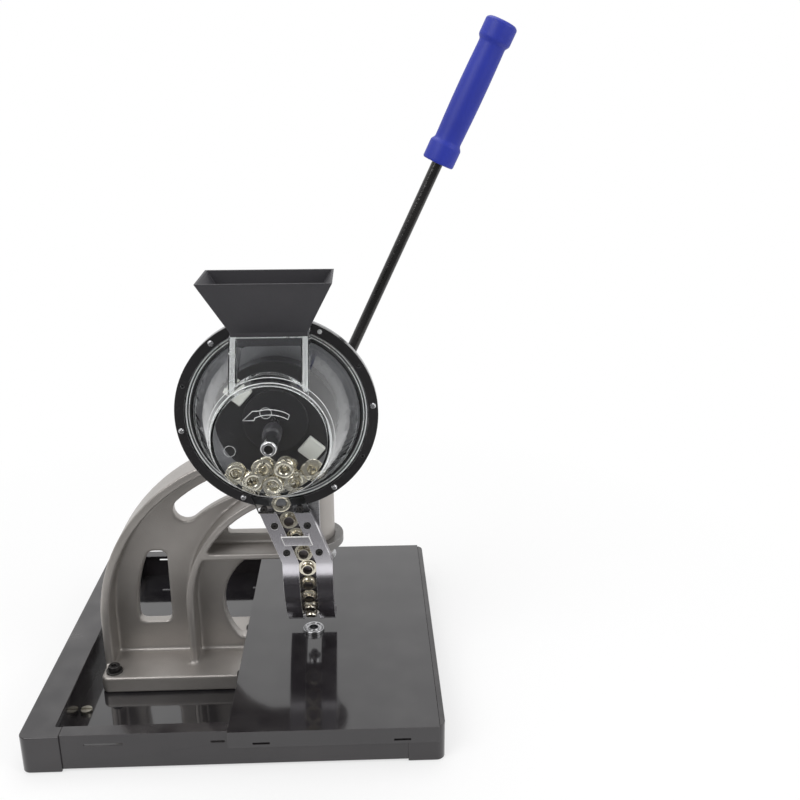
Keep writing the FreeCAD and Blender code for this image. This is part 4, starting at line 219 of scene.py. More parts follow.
def node_group(
    name: str, kind: str, inputs: dict[str, Value], outputs: Sequence[str]
) -> tuple[Canvas, Outputs, Inputs]:
    """Start a node group.

    Args:
        name: The group's name.
        kind: "Shader" or "Geometry".
        inputs: Each input's default, or the kind of its socket where it has none.
        outputs: Names of the outputs: numbers in a shader group, meshes in a geometry group.

    Returns:
        The canvas, the sockets that bring the inputs, and those that take the outputs.
    """
    tree = bpy.data.node_groups.new(name, f"{kind}NodeTree")
    sockets = {float: "Float", int: "Int", tuple: "Vector"}
    for label, default in inputs.items():
        socket = f"NodeSocket{sockets.get(type(default), default)}"
        made = tree.interface.new_socket(label, in_out="INPUT", socket_type=socket)
        if not isinstance(default, str):
            made.default_value = default
    for label in outputs:
        socket = "NodeSocketFloat" if kind == "Shader" else "NodeSocketGeometry"
        tree.interface.new_socket(label, in_out="OUTPUT", socket_type=socket)
    canvas = Canvas(tree)
    return canvas, canvas.add("NodeGroupInput").outputs, canvas.add("NodeGroupOutput").inputs


class Effects:
    """Shader groups that several finishes use. Each is built once, when it is first asked for."""

    @staticmethod
    @cache
    def grain() -> Tree:
        """Stretched fine grain and broad clouds.

        Returns:
            A group with Scale, Stretch and Cloud Scale inputs, and Grain and Cloud outputs.
        """
        inputs = {"Scale": 800.0, "Stretch": (1.0, 1.0, 1.0), "Cloud Scale": 12.0}
        canvas, source, target = node_group("grain", "Shader", inputs, ("Grain", "Cloud"))
        place = canvas.part("ShaderNodeTexCoord", "Object")
        factors = {0: place, 1: source["Stretch"]}
        stretched = canvas.add("ShaderNodeVectorMath", factors, operation="MULTIPLY")
        broad = canvas.noise(place, source["Cloud Scale"], 3.0)
        canvas.feed(target["Grain"], canvas.noise(stretched.outputs[0], source["Scale"], 4.0))
        canvas.feed(target["Cloud"], canvas.span(broad, 0.3, 0.7))
        return canvas.tree

    @staticmethod
    @cache
    def pits() -> Tree:
        """Small pits and lumps of a cast or hammered skin.

        Returns:
            A group with a Scale input and a Height output.
        """
        canvas, source, target = node_group("pits", "Shader", {"Scale": 500.0}, ("Height",))
        place = canvas.part("ShaderNodeTexCoord", "Object")
        inputs = {"Vector": place, "Scale": source["Scale"], "Randomness": 1.0}
        cells = canvas.add("ShaderNodeTexVoronoi", inputs, feature="SMOOTH_F1")
        canvas.feed(target["Height"], canvas.span(cells.outputs["Distance"], 0.05, 0.75))
        return canvas.tree

    @staticmethod
    @cache
    def wear() -> Tree:
        """Where an edge is rubbed, and where some finishes lay a painted highlight along an edge.

        Returns:
            A group with Radius and Amount inputs and a Mask output.
        """
        inputs = {"Radius": 0.8 * MM, "Amount": 0.5}
        canvas, source, target = node_group("wear", "Shader", inputs, ("Mask",))
        rounded = canvas.add("ShaderNodeBevel", {"Radius": source["Radius"]}, samples=4).outputs[0]
        flat = canvas.part("ShaderNodeNewGeometry", "Normal")
        facing = canvas.add("ShaderNodeVectorMath", {0: rounded, 1: flat}, operation="DOT_PRODUCT")
        edge = canvas.span(facing.outputs["Value"], 0.995, 0.90)
        noise = canvas.noise(canvas.part("ShaderNodeTexCoord", "Object"), 160.0, 5.0)
        broken = canvas.math("MULTIPLY", edge, canvas.span(noise, 0.35, 0.6))
        canvas.feed(target["Mask"], canvas.math("MULTIPLY", broken, source["Amount"]))
        return canvas.tree

    @staticmethod
    @cache
    def dust() -> Tree:
        """Thin dust on faces that look up.

        Returns:
            A group with an Amount input and a Mask output.
        """
        canvas, source, target = node_group("dust", "Shader", {"Amount": 0.1}, ("Mask",))
        coordinates = canvas.add("ShaderNodeTexCoord").outputs
        height = canvas.add("ShaderNodeSeparateXYZ", {0: coordinates["Normal"]}).outputs["Z"]
        specks = canvas.span(canvas.noise(coordinates["Object"], 26.0, 9.0), 0.42, 0.75)
        upward = canvas.math("MULTIPLY", canvas.span(height, 0.6, 0.98), specks)
        canvas.feed(target["Mask"], canvas.math("MULTIPLY", upward, source["Amount"]))
        return canvas.tree


# ---------------------------------------------------------------- finishes


def new_material(name: str) -> tuple[Material, Canvas, Node]:
    """Start a material.

    Args:
        name: Its name.

    Returns:
        The material, the canvas of its nodes and its main shader.
    """
    made = bpy.data.materials.new(name)
    made.use_nodes = True
    return made, Canvas(made.node_tree), made.node_tree.nodes["Principled BSDF"]


@dataclass(frozen=True)
class Finish:
    """How a piece's surface looks.

    Attributes:
        name: The material's name.
        slot: The record's slot that it belongs to.
    """

    name: str
    slot: Slot

    def material(self) -> Material:
        """The finish as a material, made when it is first asked for.

        Returns:
            The material.
        """
        made = bpy.data.materials.get(self.name)
        if made is None:
            made, canvas, shader = new_material(self.name)
            self.draw(canvas, shader)
        return made

    def draw(self, canvas: Canvas, shader: Node) -> None:
        """Draw the finish's nodes. Each kind of finish says how."""
        raise NotImplementedError


@dataclass(frozen=True)
class Opaque(Finish):
    """An opaque surface finish.

    Attributes:
        cloud_scale: Its clouds' features per metre.
        least_roughness: What its roughness doesn't fall below.
        pits_share: The scale of pits, as a share of the relief's.
        dust_colour: The colour of dust.
        colour: Its main colour.
        shade: The colour of its clouds.
        metallic: 1 for bare metal.
        roughness: Its middle roughness.
        spread: How far the grain moves the roughness.
        pitted: Whether it has the pits and lumps of a cast or hammered skin.
        scale: The relief's features per metre.
        depth: The relief's height.
        stretch: How the grain is stretched along X, Y and Z.
        worn_and_highlight: The colour of rubbed edges, and of the painted highlight laid along edges in some
            finishes.
        wear: How strongly edges are rubbed, and painted with highlight in some finishes.
        dust: How much dust lies on it.
        coat: Weight of a clear coat.
    """

    cloud_scale: ClassVar[float] = 14.0
    least_roughness: ClassVar[float] = 0.02
    pits_share: ClassVar[float] = 0.6
    dust_colour: ClassVar[Colour] = (0.32, 0.31, 0.30)
    colour: Colour
    shade: Colour
    metallic: float = 0.0
    roughness: float = 0.35
    spread: float = 0.08
    pitted: bool = False
    scale: float = 900.0
    depth: float = 0.02 * MM
    stretch: Triple = (1.0, 1.0, 1.0)
    worn_and_highlight: Colour = (0.6, 0.6, 0.6)
    wear: float = 0.0
    dust: float = 0.0
    coat: float = 0.0

    def draw(self, canvas: Canvas, shader: Node) -> None:
        """Draw the finish's nodes.

        Args:
            canvas: The material's canvas.
            shader: The material's main shader.
        """
        inputs = {"Scale": self.scale, "Stretch": self.stretch, "Cloud Scale": self.cloud_scale}
        grain = canvas.effect(Effects.grain(), inputs)
        colour = canvas.blend(grain["Cloud"], self.colour, self.shade)
        smoothest = max(self.roughness - self.spread, self.least_roughness)
        rough = canvas.span(grain["Grain"], 0.3, 0.7, smoothest, self.roughness + self.spread)
        # Rubbed edges, and on the drum ring a painted highlight along its rims.
        if self.wear > 0:
            rubbed_and_lit = canvas.effect(Effects.wear(), {"Amount": self.wear})["Mask"]
            colour = canvas.blend(rubbed_and_lit, colour, self.worn_and_highlight)
        if self.dust > 0:
            dusty = canvas.effect(Effects.dust(), {"Amount": self.dust})["Mask"]
            colour = canvas.blend(dusty, colour, self.dust_colour)
            rough = canvas.math("ADD", rough, dusty)
        height = grain["Grain"]
        if self.pitted:
            pits = canvas.effect(Effects.pits(), {"Scale": self.scale * self.pits_share})
            height = canvas.math("ADD", height, pits["Height"])
        bump = canvas.add("ShaderNodeBump", {"Strength": 1.0, "Distance": self.depth, "Height": height})
        for name, source in (
            ("Metallic", self.metallic),
            ("Coat Weight", self.coat),
            ("Coat Roughness", 0.06),
            ("Base Color", colour),
            ("Roughness", rough),
            ("Normal", bump.outputs["Normal"]),
        ):
            canvas.feed(shader.inputs[name], source)


@dataclass(frozen=True)
class Clear(Finish):
    """Clear moulded plastic, with faint haze and scuffs.

    Attributes:
        tint: The colour of light that has passed through it.
        haze: Its roughness where it is clean.
        cloud: How milky it is, as where a thick wall or a rib catches light.
    """

    tint: ClassVar[tuple] = (0.96, 0.97, 0.97, 1.0)
    haze: float = 0.03
    cloud: float = 0.0

    def draw(self, canvas: Canvas, shader: Node) -> None:
        """Draw the finish's nodes.

        Args:
            canvas: The material's canvas.
            shader: The material's main shader.
        """
        grain = canvas.effect(Effects.grain(), {"Scale": 90.0, "Cloud Scale": 30.0})
        inputs = {"Strength": 0.3, "Distance": 0.01 * MM, "Height": grain["Grain"]}
        for name, source in (
            ("Base Color", self.tint),
            ("Transmission Weight", 1.0 - self.cloud),
            ("IOR", 1.46),
            ("Roughness", canvas.span(grain["Cloud"], 0.0, 1.0, self.haze, self.haze * 2.5)),
            ("Normal", canvas.add("ShaderNodeBump", inputs).outputs["Normal"]),
        ):
            canvas.feed(shader.inputs[name], source)
        # Shadow rays pass straight through, so that what is behind stays lit.
        through = canvas.add("ShaderNodeBsdfTransparent", {"Color": self.tint}).outputs[0]
        mixed = canvas.mix(canvas.part("ShaderNodeLightPath", "Is Shadow Ray"), shader.outputs[0], through)
        canvas.feed(canvas.tree.nodes["Material Output"].inputs["Surface"], mixed)


TRAY_PAINT = Opaque(
    "tray_paint", Slot.BLACK_GLOSS, (0.013, 0.011, 0.013), (0.022, 0.019, 0.021), roughness=0.16,
    spread=0.03, scale=420.0, depth=0.006 * MM, wear=0.35, worn_and_highlight=(0.14, 0.13, 0.13), dust=0.12, coat=0.4,
)
TABLE_PAINT = Opaque(
    "table_paint", Slot.BLACK_GLOSS, (0.014, 0.012, 0.014), (0.020, 0.018, 0.020), roughness=0.10,
    spread=0.02, scale=300.0, depth=0.003 * MM, wear=0.3, worn_and_highlight=(0.16, 0.15, 0.15), dust=0.05, coat=0.6,
)
DECK_GLOSS = Opaque(
    "deck_gloss", Slot.BLACK_GLOSS, (0.010, 0.009, 0.011), (0.014, 0.013, 0.015), roughness=0.05,
    spread=0.015, scale=160.0, depth=0.002 * MM, dust=0.05, coat=0.8,
)
CAST_METAL = Opaque(
    "cast_metal", Slot.CAST, (0.42, 0.395, 0.375), (0.34, 0.32, 0.30), metallic=0.65, roughness=0.38,
    spread=0.10, pitted=True, scale=1100.0, depth=0.08 * MM, wear=0.5, worn_and_highlight=(0.70, 0.69, 0.67), dust=0.06,
)
MACHINED_METAL = Opaque(
    "machined_metal", Slot.ALUMINIUM, (0.46, 0.46, 0.47), (0.38, 0.38, 0.39), metallic=1.0, roughness=0.30,
    scale=260.0, stretch=(1.0, 1.0, 14.0), depth=0.01 * MM, wear=0.5,
)
CHUTE_METAL = Opaque(
    "chute_metal", Slot.ALUMINIUM, (0.80, 0.78, 0.82), (0.70, 0.68, 0.73), metallic=1.0, roughness=0.19,
    spread=0.04, scale=240.0, stretch=(9.0, 1.0, 1.0), depth=0.003 * MM,
)
# Painted highlight: the chute plates' and clip's broken edges get this near-white, barely metallic colour,
# so that they show as bright lines under any lamp.
CHUTE_EDGE_HIGHLIGHT = Opaque(
    "chute_edge", Slot.ALUMINIUM, (0.88, 0.87, 0.86), (0.80, 0.79, 0.78), metallic=0.2, roughness=0.32,
    scale=300.0, depth=0.004 * MM,
)
# Painted shade: the plate at the back of the chute's channel is given a dark colour because it lies in
# shade.
CHUTE_BED_SHADE = Opaque(
    "chute_bed", Slot.ALUMINIUM, (0.20, 0.185, 0.20), (0.13, 0.12, 0.135), metallic=0.9, roughness=0.36,
    scale=240.0, stretch=(9.0, 1.0, 1.0), depth=0.006 * MM,
)
PLATE_METAL = Opaque(
    "plate_metal", Slot.ALUMINIUM, (0.40, 0.40, 0.42), (0.33, 0.33, 0.35), metallic=0.9, roughness=0.34,
    scale=200.0, stretch=(12.0, 1.0, 1.0), depth=0.008 * MM, wear=0.5,
)
STEEL = Opaque(
    "ground_steel", Slot.STEEL, (0.50, 0.50, 0.51), (0.42, 0.42, 0.43), metallic=1.0, roughness=0.24,
    scale=420.0, stretch=(1.0, 1.0, 10.0), depth=0.006 * MM, wear=0.5, worn_and_highlight=(0.75, 0.75, 0.75),
)
BRIGHT_STEEL = Opaque(
    "bright_steel", Slot.STEEL, (0.68, 0.68, 0.69), (0.58, 0.58, 0.60), metallic=1.0, roughness=0.16,
    scale=500.0, stretch=(6.0, 1.0, 1.0), depth=0.004 * MM, wear=0.6, worn_and_highlight=(0.85, 0.85, 0.85),
)
SCREW_BLACK = Opaque(
    "screw_black", Slot.BLACK_SCREWS, (0.028, 0.027, 0.027), (0.040, 0.038, 0.037), metallic=0.6,
    roughness=0.34, scale=1500.0, depth=0.01 * MM, wear=0.7, worn_and_highlight=(0.22, 0.21, 0.20),
)
COLLAR_METAL = Opaque(
    "collar_metal", Slot.BLACK_SCREWS, (0.20, 0.195, 0.19), (0.13, 0.125, 0.12), metallic=0.9,
    roughness=0.34, scale=380.0, stretch=(1.0, 1.0, 9.0), depth=0.01 * MM, wear=0.8, worn_and_highlight=(0.6, 0.59, 0.57),
)
ZINC = Opaque(
    "zinc_plate", Slot.ZINC, (0.58, 0.55, 0.46), (0.46, 0.44, 0.40), metallic=1.0, roughness=0.32,
    scale=1300.0, depth=0.01 * MM, wear=0.5,
)
RUBBER = Opaque(
    "foot_rubber", Slot.RUBBER, (0.022, 0.021, 0.021), (0.034, 0.033, 0.032), roughness=0.72, scale=1800.0,
    depth=0.03 * MM, dust=0.15,
)
BRONZE = Opaque(
    "bush_bronze", Slot.BRONZE, (0.52, 0.36, 0.17), (0.42, 0.28, 0.13), metallic=1.0, roughness=0.30,
    scale=420.0, stretch=(1.0, 1.0, 8.0), depth=0.01 * MM,
)
# Painted highlight: the ring's grey edge colour draws bright lines along its rims, as if they caught the
# light.
RING_PLASTIC = Opaque(
    "ring_plastic", Slot.BLACK_PLASTIC, (0.012, 0.011, 0.012), (0.018, 0.017, 0.018), roughness=0.16,
    spread=0.04, scale=500.0, depth=0.004 * MM, wear=0.8, worn_and_highlight=(0.30, 0.30, 0.30),
)
DISC_PLASTIC = Opaque(
    "disc_plastic", Slot.BLACK_PLASTIC, (0.010, 0.009, 0.011), (0.014, 0.013, 0.015), roughness=0.32,
    spread=0.04, scale=300.0, depth=0.002 * MM, wear=0.5, worn_and_highlight=(0.10, 0.10, 0.10),
)
KNOB_PLASTIC = Opaque(
    "knob_plastic", Slot.BLACK_PLASTIC, (0.045, 0.043, 0.048), (0.035, 0.033, 0.038), roughness=0.40,
    scale=400.0, depth=0.004 * MM,
)
SEAL_RUBBER = Opaque(
    "seal_rubber", Slot.BLACK_PLASTIC, (0.008, 0.008, 0.008), (0.012, 0.012, 0.012), roughness=0.4,
    depth=0.004 * MM,
)
PADDLE_PLASTIC = Opaque(
    "paddle_plastic", Slot.WHITE_PLASTIC, (0.72, 0.72, 0.68), (0.62, 0.62, 0.58), roughness=0.48,
    wear=0.3, worn_and_highlight=(0.5, 0.49, 0.46),
)
FUNNEL_PLASTIC = Opaque(
    "funnel_plastic", Slot.GREY_PLASTIC, (0.030, 0.029, 0.034), (0.038, 0.036, 0.041), roughness=0.55,
    scale=1400.0, depth=0.05 * MM, wear=0.35, worn_and_highlight=(0.12, 0.12, 0.125), dust=0.10,
)
GRIP_PLASTIC = Opaque(
    "grip_plastic", Slot.BLUE_PLASTIC, (0.007, 0.022, 0.34), (0.006, 0.017, 0.27), roughness=0.52,
    scale=1500.0, depth=0.04 * MM, wear=0.2, worn_and_highlight=(0.03, 0.06, 0.42),
)
ROD_ENAMEL = Opaque(
    "rod_enamel", Slot.BLACK_ROD, (0.010, 0.010, 0.010), (0.035, 0.032, 0.031), metallic=0.5, roughness=0.22,
    spread=0.10, pitted=True, scale=620.0, depth=0.16 * MM, wear=0.3, worn_and_highlight=(0.2, 0.17, 0.15), coat=0.3,
)
NICKEL = Opaque(
    "eyelet_nickel", Slot.NICKEL, (0.88, 0.84, 0.73), (0.70, 0.65, 0.53), metallic=1.0, roughness=0.20,
    spread=0.05, depth=0.004 * MM, wear=0.4, worn_and_highlight=(0.92, 0.90, 0.84),
)
COVER_PLASTIC = Clear("cover_plastic", Slot.CLEAR)
FROST_PLASTIC = Clear("frost_plastic", Slot.CLEAR, cloud=0.20, haze=0.20)
# Painted highlight: this milky finish draws the cover's beads, moulded marks and arrow, and the dome in the
# ring's hole, as bright lines and spots where clear plastic catches light.
HIGHLIGHT_PLASTIC = Clear("edge_plastic", Slot.CLEAR, cloud=0.5, haze=0.16)


# ---------------------------------------------------------------- meshes


def new_object(name: str, data: bpy.types.ID) -> Object:
    """Put an object in the scene, at the origin.

    Args:
        name: Its name.
        data: Its mesh, lamp or camera.

    Returns:
        The object.
    """
    made = bpy.data.objects.new(name, data)
    bpy.context.scene.collection.objects.link(made)
    return made


def finished(name: str, bm: bmesh.types.BMesh) -> Object:
    """Make an object of an edited mesh, and free the latter.

    Args:
        name: The object's name.
        bm: The edited mesh.

    Returns:
        The object.
    """
    mesh = bpy.data.meshes.new(f"{name}_mesh")
    bm.to_mesh(mesh)
    bm.free()
    return new_object(name, mesh)


def baked(piece: Object) -> Object:
    """Turn a piece's modifiers into plain mesh.

    Args:
        piece: An object with modifiers.

    Returns:
        The same object, with its evaluated mesh and no modifiers.
    """
    graph = bpy.context.evaluated_depsgraph_get()
    graph.update()
    mesh = bpy.data.meshes.new_from_object(piece.evaluated_get(graph))
    piece.modifiers.clear()
    old = piece.data
    piece.data = mesh
    bpy.data.meshes.remove(old)
    return piece


def shade(mesh: Mesh, angle: float = 32.0) -> None:
    """Shade a mesh smooth, with its edges sharp where faces turn by more than an angle in degrees."""
    mesh.shade_smooth()
    mesh.set_sharp_from_angle(angle=math.radians(angle))


def merged_copy(node: str) -> Object:
    """Copy a CAD node, with its triangles joined into flat faces.

    Args:
        node: The node's name.

    Returns:
        The copy.
    """
    flat = math.radians(0.6)
    bm = bmesh.new()
    bm.from_mesh(bpy.data.objects[node].data)
    bmesh.ops.remove_doubles(bm, verts=bm.verts, dist=WELD)
    bmesh.ops.dissolve_limit(bm, angle_limit=flat, verts=bm.verts, edges=bm.edges)
    return finished(f"{node}_piece", bm)


def geometry_group(name: str, inputs: dict[str, Value]) -> tuple[Canvas, Outputs, Inputs]:
    """Start a group of geometry nodes that works as a modifier and gives one mesh.

    Args:
        name: The group's name.
        inputs: Each input's default, or the kind of its socket where it has none.

    Returns:
        The canvas, the sockets that bring the inputs, and the one that takes the mesh.
    """
    canvas, source, target = node_group(name, "Geometry", inputs, ("Mesh",))
    canvas.tree.is_modifier = True
    return canvas, source, target


@cache
def turned_tree() -> Tree:
    """Geometry nodes that turn a profile about the Z axis.

    Returns:
        A tree with Profile and Segments inputs.
    """
    canvas, source, target = geometry_group("turned", {"Profile": "Geometry", "Segments": 96})
    count = canvas.add("GeometryNodeAttributeDomainSize", {0: source["Profile"]}).outputs["Point Count"]
    around = canvas.math("ADD", source["Segments"], 1)
    inputs = {"Size X": 1.0, "Size Y": 1.0, "Vertices X": around, "Vertices Y": count}
    grid = canvas.add("GeometryNodeMeshGrid", inputs).outputs["Mesh"]
    position = canvas.part("GeometryNodeInputPosition", 0)
    place = canvas.add("ShaderNodeSeparateXYZ", {0: position}).outputs
    angle = canvas.math("MULTIPLY", canvas.math("ADD", place["X"], 0.5), TAU)
    last = canvas.math("SUBTRACT", count, 1)
    index = canvas.math("ROUND", canvas.math("MULTIPLY", canvas.math("ADD", place["Y"], 0.5), last))
    sample = canvas.add("GeometryNodeSampleIndex", data_type="FLOAT_VECTOR", domain="POINT")
    for label, value in (("Geometry", source["Profile"]), ("Value", position), ("Index", index)):
        canvas.feed(sample.inputs[label], value)
    inputs = {"Vector": sample.outputs["Value"], "Angle": angle}
    turn = canvas.add("ShaderNodeVectorRotate", inputs, rotation_type="Z_AXIS").outputs[0]
    moved = canvas.add("GeometryNodeSetPosition", {"Geometry": grid, "Position": turn}).outputs[0]
    whole = canvas.add("GeometryNodeMergeByDistance", {"Geometry": moved, "Distance": 0.001 * MM})
    canvas.feed(target[0], whole.outputs[0])
    return canvas.tree


@cache
def copies_tree() -> Tree:
    """Geometry nodes that put a copy of a piece at each point, turned as the point's own turn says.

    Returns:
        A tree with Points, Piece, Play and Seed inputs. The play rolls each copy about its own axis.
    """
    inputs = {"Points": "Geometry", "Piece": "Object", "Play": 0.0, "Seed": 7}
    canvas, source, target = geometry_group("placed_copies", inputs)
    model = canvas.add("GeometryNodeObjectInfo", {"Object": source["Piece"]}).outputs["Geometry"]
    turn = canvas.add("GeometryNodeInputNamedAttribute", {"Name": "turn"}, data_type="FLOAT_VECTOR")
    chance = canvas.add("FunctionNodeRandomValue", {"Seed": source["Seed"]}, data_type="FLOAT")
    roll = canvas.math("MULTIPLY", chance.outputs[1], source["Play"])
    spin = canvas.add("ShaderNodeCombineXYZ", {"Z": roll})
    turns = {
        number: canvas.add("FunctionNodeEulerToRotation", {0: node.outputs[0]}).outputs[0]
        for number, node in enumerate((turn, spin))
    }
    both = canvas.add("FunctionNodeRotateRotation", turns, rotation_space="LOCAL")
    inputs = {"Points": source["Points"], "Instance": model, "Rotation": both.outputs[0]}
    placed = canvas.add("GeometryNodeInstanceOnPoints", inputs).outputs[0]
    real = canvas.add("GeometryNodeRealizeInstances", {"Geometry": placed})
    canvas.feed(target[0], real.outputs[0])
    return canvas.tree


@cache
def wire_tree() -> Tree:
    """Geometry nodes that lay a round wire along a line of edges.

    Returns:
        A tree with Line and Wire Radius inputs.
    """
    canvas, source, target = geometry_group("wire", {"Line": "Geometry", "Wire Radius": 1.0 * MM})
    line = canvas.add("GeometryNodeMeshToCurve", {"Mesh": source["Line"]}).outputs[0]
    inputs = {"Resolution": 12, "Radius": source["Wire Radius"]}
    section = canvas.add("GeometryNodeCurvePrimitiveCircle", inputs).outputs[0]
    inputs = {"Curve": line, "Profile Curve": section, "Fill Caps": True}
    canvas.feed(target[0], canvas.add("GeometryNodeCurveToMesh", inputs).outputs[0])
    return canvas.tree


def grow(piece: Object, tree: Tree, inputs: dict[str, Value]) -> Object:
    """Run a geometry tree on an object and keep the result as plain mesh.

    Args:
        piece: The object that the tree starts from.
        tree: The geometry tree.
        inputs: Values by the names of the tree's inputs.

    Returns:
        The same object, with the grown mesh.
    """
    modifier = piece.modifiers.new(tree.name, "NODES")
    modifier.node_group = tree
    for item in tree.interface.items_tree:
        if item.item_type == "SOCKET" and item.in_out == "INPUT" and item.name in inputs:
            modifier[item.identifier] = inputs[item.name]
    return baked(piece)


def outward(mesh: Mesh) -> None:
    """Merge a mesh's doubles and turn its faces outwards.

    Args:
        mesh: The mesh.
    """
    bm = bmesh.new()
    bm.from_mesh(mesh)
    bmesh.ops.remove_doubles(bm, verts=bm.verts, dist=0.002 * MM)
    bmesh.ops.dissolve_degenerate(bm, edges=bm.edges, dist=0.001 * MM)
    bmesh.ops.recalc_face_normals(bm, faces=bm.faces)
    bm.to_mesh(mesh)
    bm.free()


def axis_turn(direction: Triple) -> Matrix:
    """The turn that lays the Z axis along a direction."""
    return Vector(direction).to_track_quat("Z", "Y").to_matrix().to_4x4()


def path(name: str, points: Sequence[Triple], closed: bool = False) -> Object:
    """A run of edges through points.

    Args:
        name: Its name.
        points: The points.
        closed: Whether the ends are joined.

    Returns:
        The object of the edges.
    """
    mesh = bpy.data.meshes.new(f"{name}_mesh")
    count = len(points)
    mesh.from_pydata(points, [(i, (i + 1) % count) for i in range(count if closed else count - 1)], [])
    return new_object(name, mesh)


def turned(name: str, profile: Profile, place: Vector, direction: Triple, segments: int = 96) -> Object:
    """A turned piece.

    Args:
        name: The piece's name.
        profile: (radius, distance along the axis) points, closed or from axis to axis.
        place: Where the axis starts.
        direction: Which way the axis points.
        segments: Faces round the axis.

    Returns:
        The piece, with its place in its mesh.
    """
    line = path(name, [(radius, 0.0, along) for radius, along in profile])
    piece = grow(line, turned_tree(), {"Segments": segments})
    outward(piece.data)
    piece.data.transform(Matrix.Translation(place) @ axis_turn(direction))
    shade(piece.data)
    return piece


def wired(name: str, points: Sequence[Triple], radius: float, closed: bool = False) -> Object:
    """A round wire along a line.

    Args:
        name: The piece's name.
        points: The line's points.
        radius: The wire's radius.
        closed: Whether the line's ends are joined.

    Returns:
        The piece.
    """
    piece = grow(path(name, points, closed), wire_tree(), {"Wire Radius": radius})
    outward(piece.data)
    shade(piece.data, 60.0)
    return piece


def hoop(radius: float, thick: float, along: float = 0.0) -> Profile:
    """The closed profile of a round-section ring.

    Args:
        radius: Radius of the ring's middle line.
        thick: Radius of its section.
        along: Where it sits along the axis.

    Returns:
        (radius, distance) points.
    """
    count = 10
    angles = [TAU * i / count for i in range(count + 1)]
    return [(radius + thick * math.cos(a), along + thick * math.sin(a)) for a in angles]


def copies(name: str, model: Object, places: Sequence[Matrix], play: float = 0.0) -> Object:
    """Copies of a model as one piece.

    Args:
        name: The piece's name.
        model: The object to copy, which is removed afterwards.
        places: Where each copy's origin and axes go.
        play: How far each copy may roll about its own axis, in radians.

    Returns:
        The piece.
    """
    points = bpy.data.meshes.new(f"{name}_points")
    points.from_pydata([place.translation for place in places], [], [])
    turns = points.attributes.new("turn", "FLOAT_VECTOR", "POINT")
    for turn, place in zip(turns.data, places):
        turn.vector = place.to_euler("XYZ")
    piece = grow(new_object(name, points), copies_tree(), {"Piece": model, "Play": play})
    mesh = model.data
    bpy.data.objects.remove(model)
    bpy.data.meshes.remove(mesh)
    shade(piece.data)
    return piece


def rounded_profile(points: Profile, radius: float, steps: int = 4) -> list[tuple[float, float]]:
    """A profile with its inner corners rounded.

    Args:
        points: Corners as (radius, distance) pairs.
        radius: Radius of the rounding, at most half of the shorter side.
        steps: Parts of each rounding.

    Returns:
        The corners, each but the first and last replaced by an arc.
    """
    share = 0.49  # Of each side, so that two roundings don't meet.
    out = [points[0]]
    for before, corner, after in zip(points, points[1:], points[2:]):
        middle = Vector(corner)
        back, ahead = Vector(before) - middle, Vector(after) - middle
        reach = min(radius, back.length * share, ahead.length * share)
        start, end = middle + back.normalized() * reach, middle + ahead.normalized() * reach
        for step in range(steps + 1):
            t = step / steps
            point = start * (1 - t) ** 2 + middle * 2 * t * (1 - t) + end * t**2
            out.append((point.x, point.y))
    out.append(points[-1])
    return out


def socket_screw(head: float, height: float, button: bool = False) -> Object:
    """A socket head with its underside at the origin and its top towards +Z.

    Args:
        head: Radius of the head.
        height: Height of the head.
        button: Whether its top is domed.

    Returns:
        The model.
    """
    socket = head * 0.52
    depth = height * 0.55
    rim = head * (0.62 if button else 0.90)
    shoulder = height * (0.35 if button else 0.90)
    profile = [(0.0, 0.0), (head, 0.0), (head, shoulder), (rim, height), (socket * 1.08, height)]
    outline = rounded_profile(profile, head * 0.12, 3)
    count = 36
    angles = [TAU * i / count for i in range(count)]
    # The hexagon's reach at each angle.
    sixth, twelfth = math.pi / 3, math.pi / 6
    reaches = [socket * math.cos(twelfth) / math.cos((a + twelfth) % sixth - twelfth) for a in angles]
    levels = [([radius] * count, along) for radius, along in outline[1:]]
    levels += [(reaches, height - depth * share) for share in (0.08, 1.0)]
    bm = bmesh.new()
    rings = [
        [bm.verts.new((r * math.cos(a), r * math.sin(a), along)) for r, a in zip(radii, angles)]
        for radii, along in levels
    ]
    for lower, upper in zip(rings, rings[1:]):
        for i in range(count):
            j = (i + 1) % count
            bm.faces.new((lower[i], lower[j], upper[j], upper[i]))
    bm.faces.new(list(reversed(rings[0])))
    bm.faces.new(rings[-1])
    bmesh.ops.recalc_face_normals(bm, faces=bm.faces)
    return finished("screw_model", bm)


def islands(node: str) -> list[list[Vector]]:
    """The separate solids of a CAD node, as lists of their points.

    Args:
        node: The node's name.

    Returns:
        One list of points for each solid.
    """
    bm = bmesh.new()
    bm.from_mesh(bpy.data.objects[node].data)
    bmesh.ops.remove_doubles(bm, verts=bm.verts, dist=WELD)
    left = set(bm.verts)
    found = []
    while left:
        heap = [left.pop()]
        points = []
        while heap:
            vertex = heap.pop()
            points.append(vertex.co.copy())
            for edge in vertex.link_edges:
                other = edge.other_vert(vertex)
                if other in left:
                    left.remove(other)
                    heap.append(other)
        found.append(points)
    bm.free()
    return found


def corners(points: Sequence[Vector]) -> tuple[Vector, Vector]:
    """The box round some points.

    Args:
        points: The points.

    Returns:
        Its lowest and its highest corner.
    """
    return (
        Vector(tuple(min(p[i] for p in points) for i in range(3))),
        Vector(tuple(max(p[i] for p in points) for i in range(3))),
    )


# ---------------------------------------------------------------- assemblies


